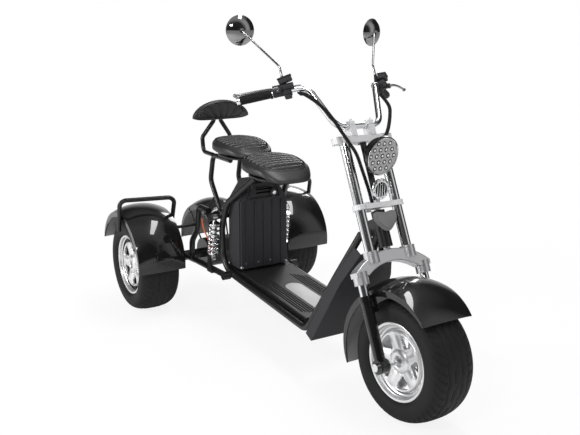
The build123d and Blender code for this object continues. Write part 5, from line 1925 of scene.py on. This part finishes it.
@dataclass
class BatteryFront:
    """The frame round the battery's handle, the pull bars and the key lock.

    Attributes:
        face: where the battery's front is along the trike.
        frame_lines, frame_radius: the frame's bars, as (y, z) of both ends, and their radius.
        pulls, pull_radius: the two pull bars.
        lock: the lock's place across and up.
        collar, barrel: the sections of its black collar and its bright barrel.
        collar_sink, barrel_out: how far they lie behind and before the face.
        slit, slit_out: the key slit's size and place before the face.
    """

    face: float = REAR.x + 0.5225
    frame_lines: tuple = (
        (-0.086, 0.634, -0.066, 0.706), (-0.066, 0.706, 0.060, 0.706), (0.060, 0.706, 0.086, 0.640),
        (-0.086, 0.634, 0.086, 0.634),
    )
    frame_radius: float = 0.0032
    pulls: tuple = ((-0.044, 0.656, 0.020, 0.656), (-0.044, 0.684, 0.020, 0.684))
    pull_radius: float = 0.0024
    lock: tuple = (0.050, 0.656)
    collar: tuple = ((0.0, 0.020), (0.005, 0.020), (0.007, 0.018), (0.007, 0.0))
    collar_sink: float = 0.003
    barrel: tuple = ((0.0, 0.0095), (0.004, 0.0095), (0.0052, 0.0085), (0.0052, 0.0062), (0.0036, 0.0056),
                     (0.0036, 0.0))
    barrel_out: float = 0.004
    slit: tuple = (0.0015, 0.0012, 0.007)
    slit_out: float = 0.0082

    def build(self) -> None:
        """Makes the frame and the lock."""
        ribs = Shape()
        for lines, radius in ((self.frame_lines, self.frame_radius), (self.pulls, self.pull_radius)):
            for y0, z0, y1, z1 in lines:
                ribs.rod((self.face, y0, z0), (self.face, y1, z1), radius, sides=12)
        ribs.lathe(self.collar, 40, at(self.face - self.collar_sink, *self.lock) @ quarter("Z", -1))
        ribs.add("battery_frame", Body.CHASSIS, Palette.satin, "frame_black", (), crease=35.0)
        lock = Shape().lathe(self.barrel, 40, at(self.face + self.barrel_out, *self.lock) @ quarter("Z", -1))
        lock.box(self.slit, at(self.face + self.slit_out, *self.lock))
        lock.add("key_lock", Body.CHASSIS, Palette.chrome, "steel", (), crease=35.0)


class CarriedOver:
    """The frame's own pieces that keep their shape and get a finish."""

    finishes = {
        Palette.chrome: "fork_tubes handlebar horn front_disc front_axle headlight_lens shock_left shock_right",
        Palette.aluminium: "fork_bridge front_rim rear_left_rim rear_right_rim",
        Palette.cast: "top_crown mid_clamp",
        Palette.grey_plastic: "head_cover",
        Palette.gloss: "front_fender rear_fender_left rear_fender_right headlight sliders",
        Palette.satin: (
            "front_caliper light_plate side_rail_left side_rail_right head_frame floor_pan backrest_frame "
            "rear_frame swing_arm guard_tube_left guard_tube_right seat_pans"
        ),
        Palette.plastic: "leg_shield controls_left controls_right battery_case battery_cover floor_mat",
        Palette.rubber: "front_tyre rear_left_tyre rear_right_tyre grips cable_looms",
        Palette.leather: "driver_seat passenger_seat backrest_pad",
        Palette.silver: "floor_pad",
        Palette.mirror: "mirror_glasses",
        Palette.chrome_painted_dark: "mirror_left mirror_right",
    }

    def build(self) -> None:
        """Dresses each node."""
        for finish, names in self.finishes.items():
            for name in names.split():
                node = frame["nodes"][name]
                node.data.materials.clear()
                node.data.materials.append(finish.build())
                LOG.info("dressed %s", name)


@dataclass
class Fenders:
    """The three fenders over the wheels.

    Attributes:
        front_deg, rear_deg: the angles that the front one and the rear ones span.
        outwards: how far the rear ones stand further out than their wheels.
    """

    front_deg: tuple = (50.0, 199.0)
    rear_deg: tuple = (4.0, 157.0)
    outwards: float = 0.008

    def build(self) -> None:
        """Makes the fenders."""
        Fender("front_fender", Body.STEERING, AXLE, *self.front_deg, STEERED).build()
        for side, sign in (("left", 1), ("right", -1)):
            centre = Vector((REAR.x, sign * (REAR.y + self.outwards), REAR.z))
            Fender(f"rear_fender_{side}", Body.CHASSIS, centre, *self.rear_deg).build()


def main() -> None:
    """Builds the stage and each part of the object in order."""
    logging.basicConfig(level=logging.INFO, format="%(name)s: %(message)s")
    Stage().build()
    CarriedOver().build()
    Wheel("front", Body.FRONT).build()
    Wheel("rear_left", Body.REAR_LEFT, inside=Palette.alloy_painted_shade).build()
    Wheel("rear_right", Body.REAR_RIGHT, inside=Palette.alloy_painted_shade).build()
    Fenders().build()
    Seat("driver_seat", border_front=0.66, droop=0.030, channels=8, wedge=0.040).build()
    Seat("passenger_seat", border_front=0.78, droop=0.014, channels=8, wedge=0.028).build()
    Backrest("backrest_pad").build()
    Mudguard().build()
    Headlight().build()
    Horn().build()
    for side, mirrored in (("left", False), ("right", True)):
        BarEnd(side, mirrored).build()
    Looms().build()
    HeadCover().build()
    FloorMat().build()
    BatteryFront().build()
    Bolts().build()


if __name__ == "__main__":
    main()
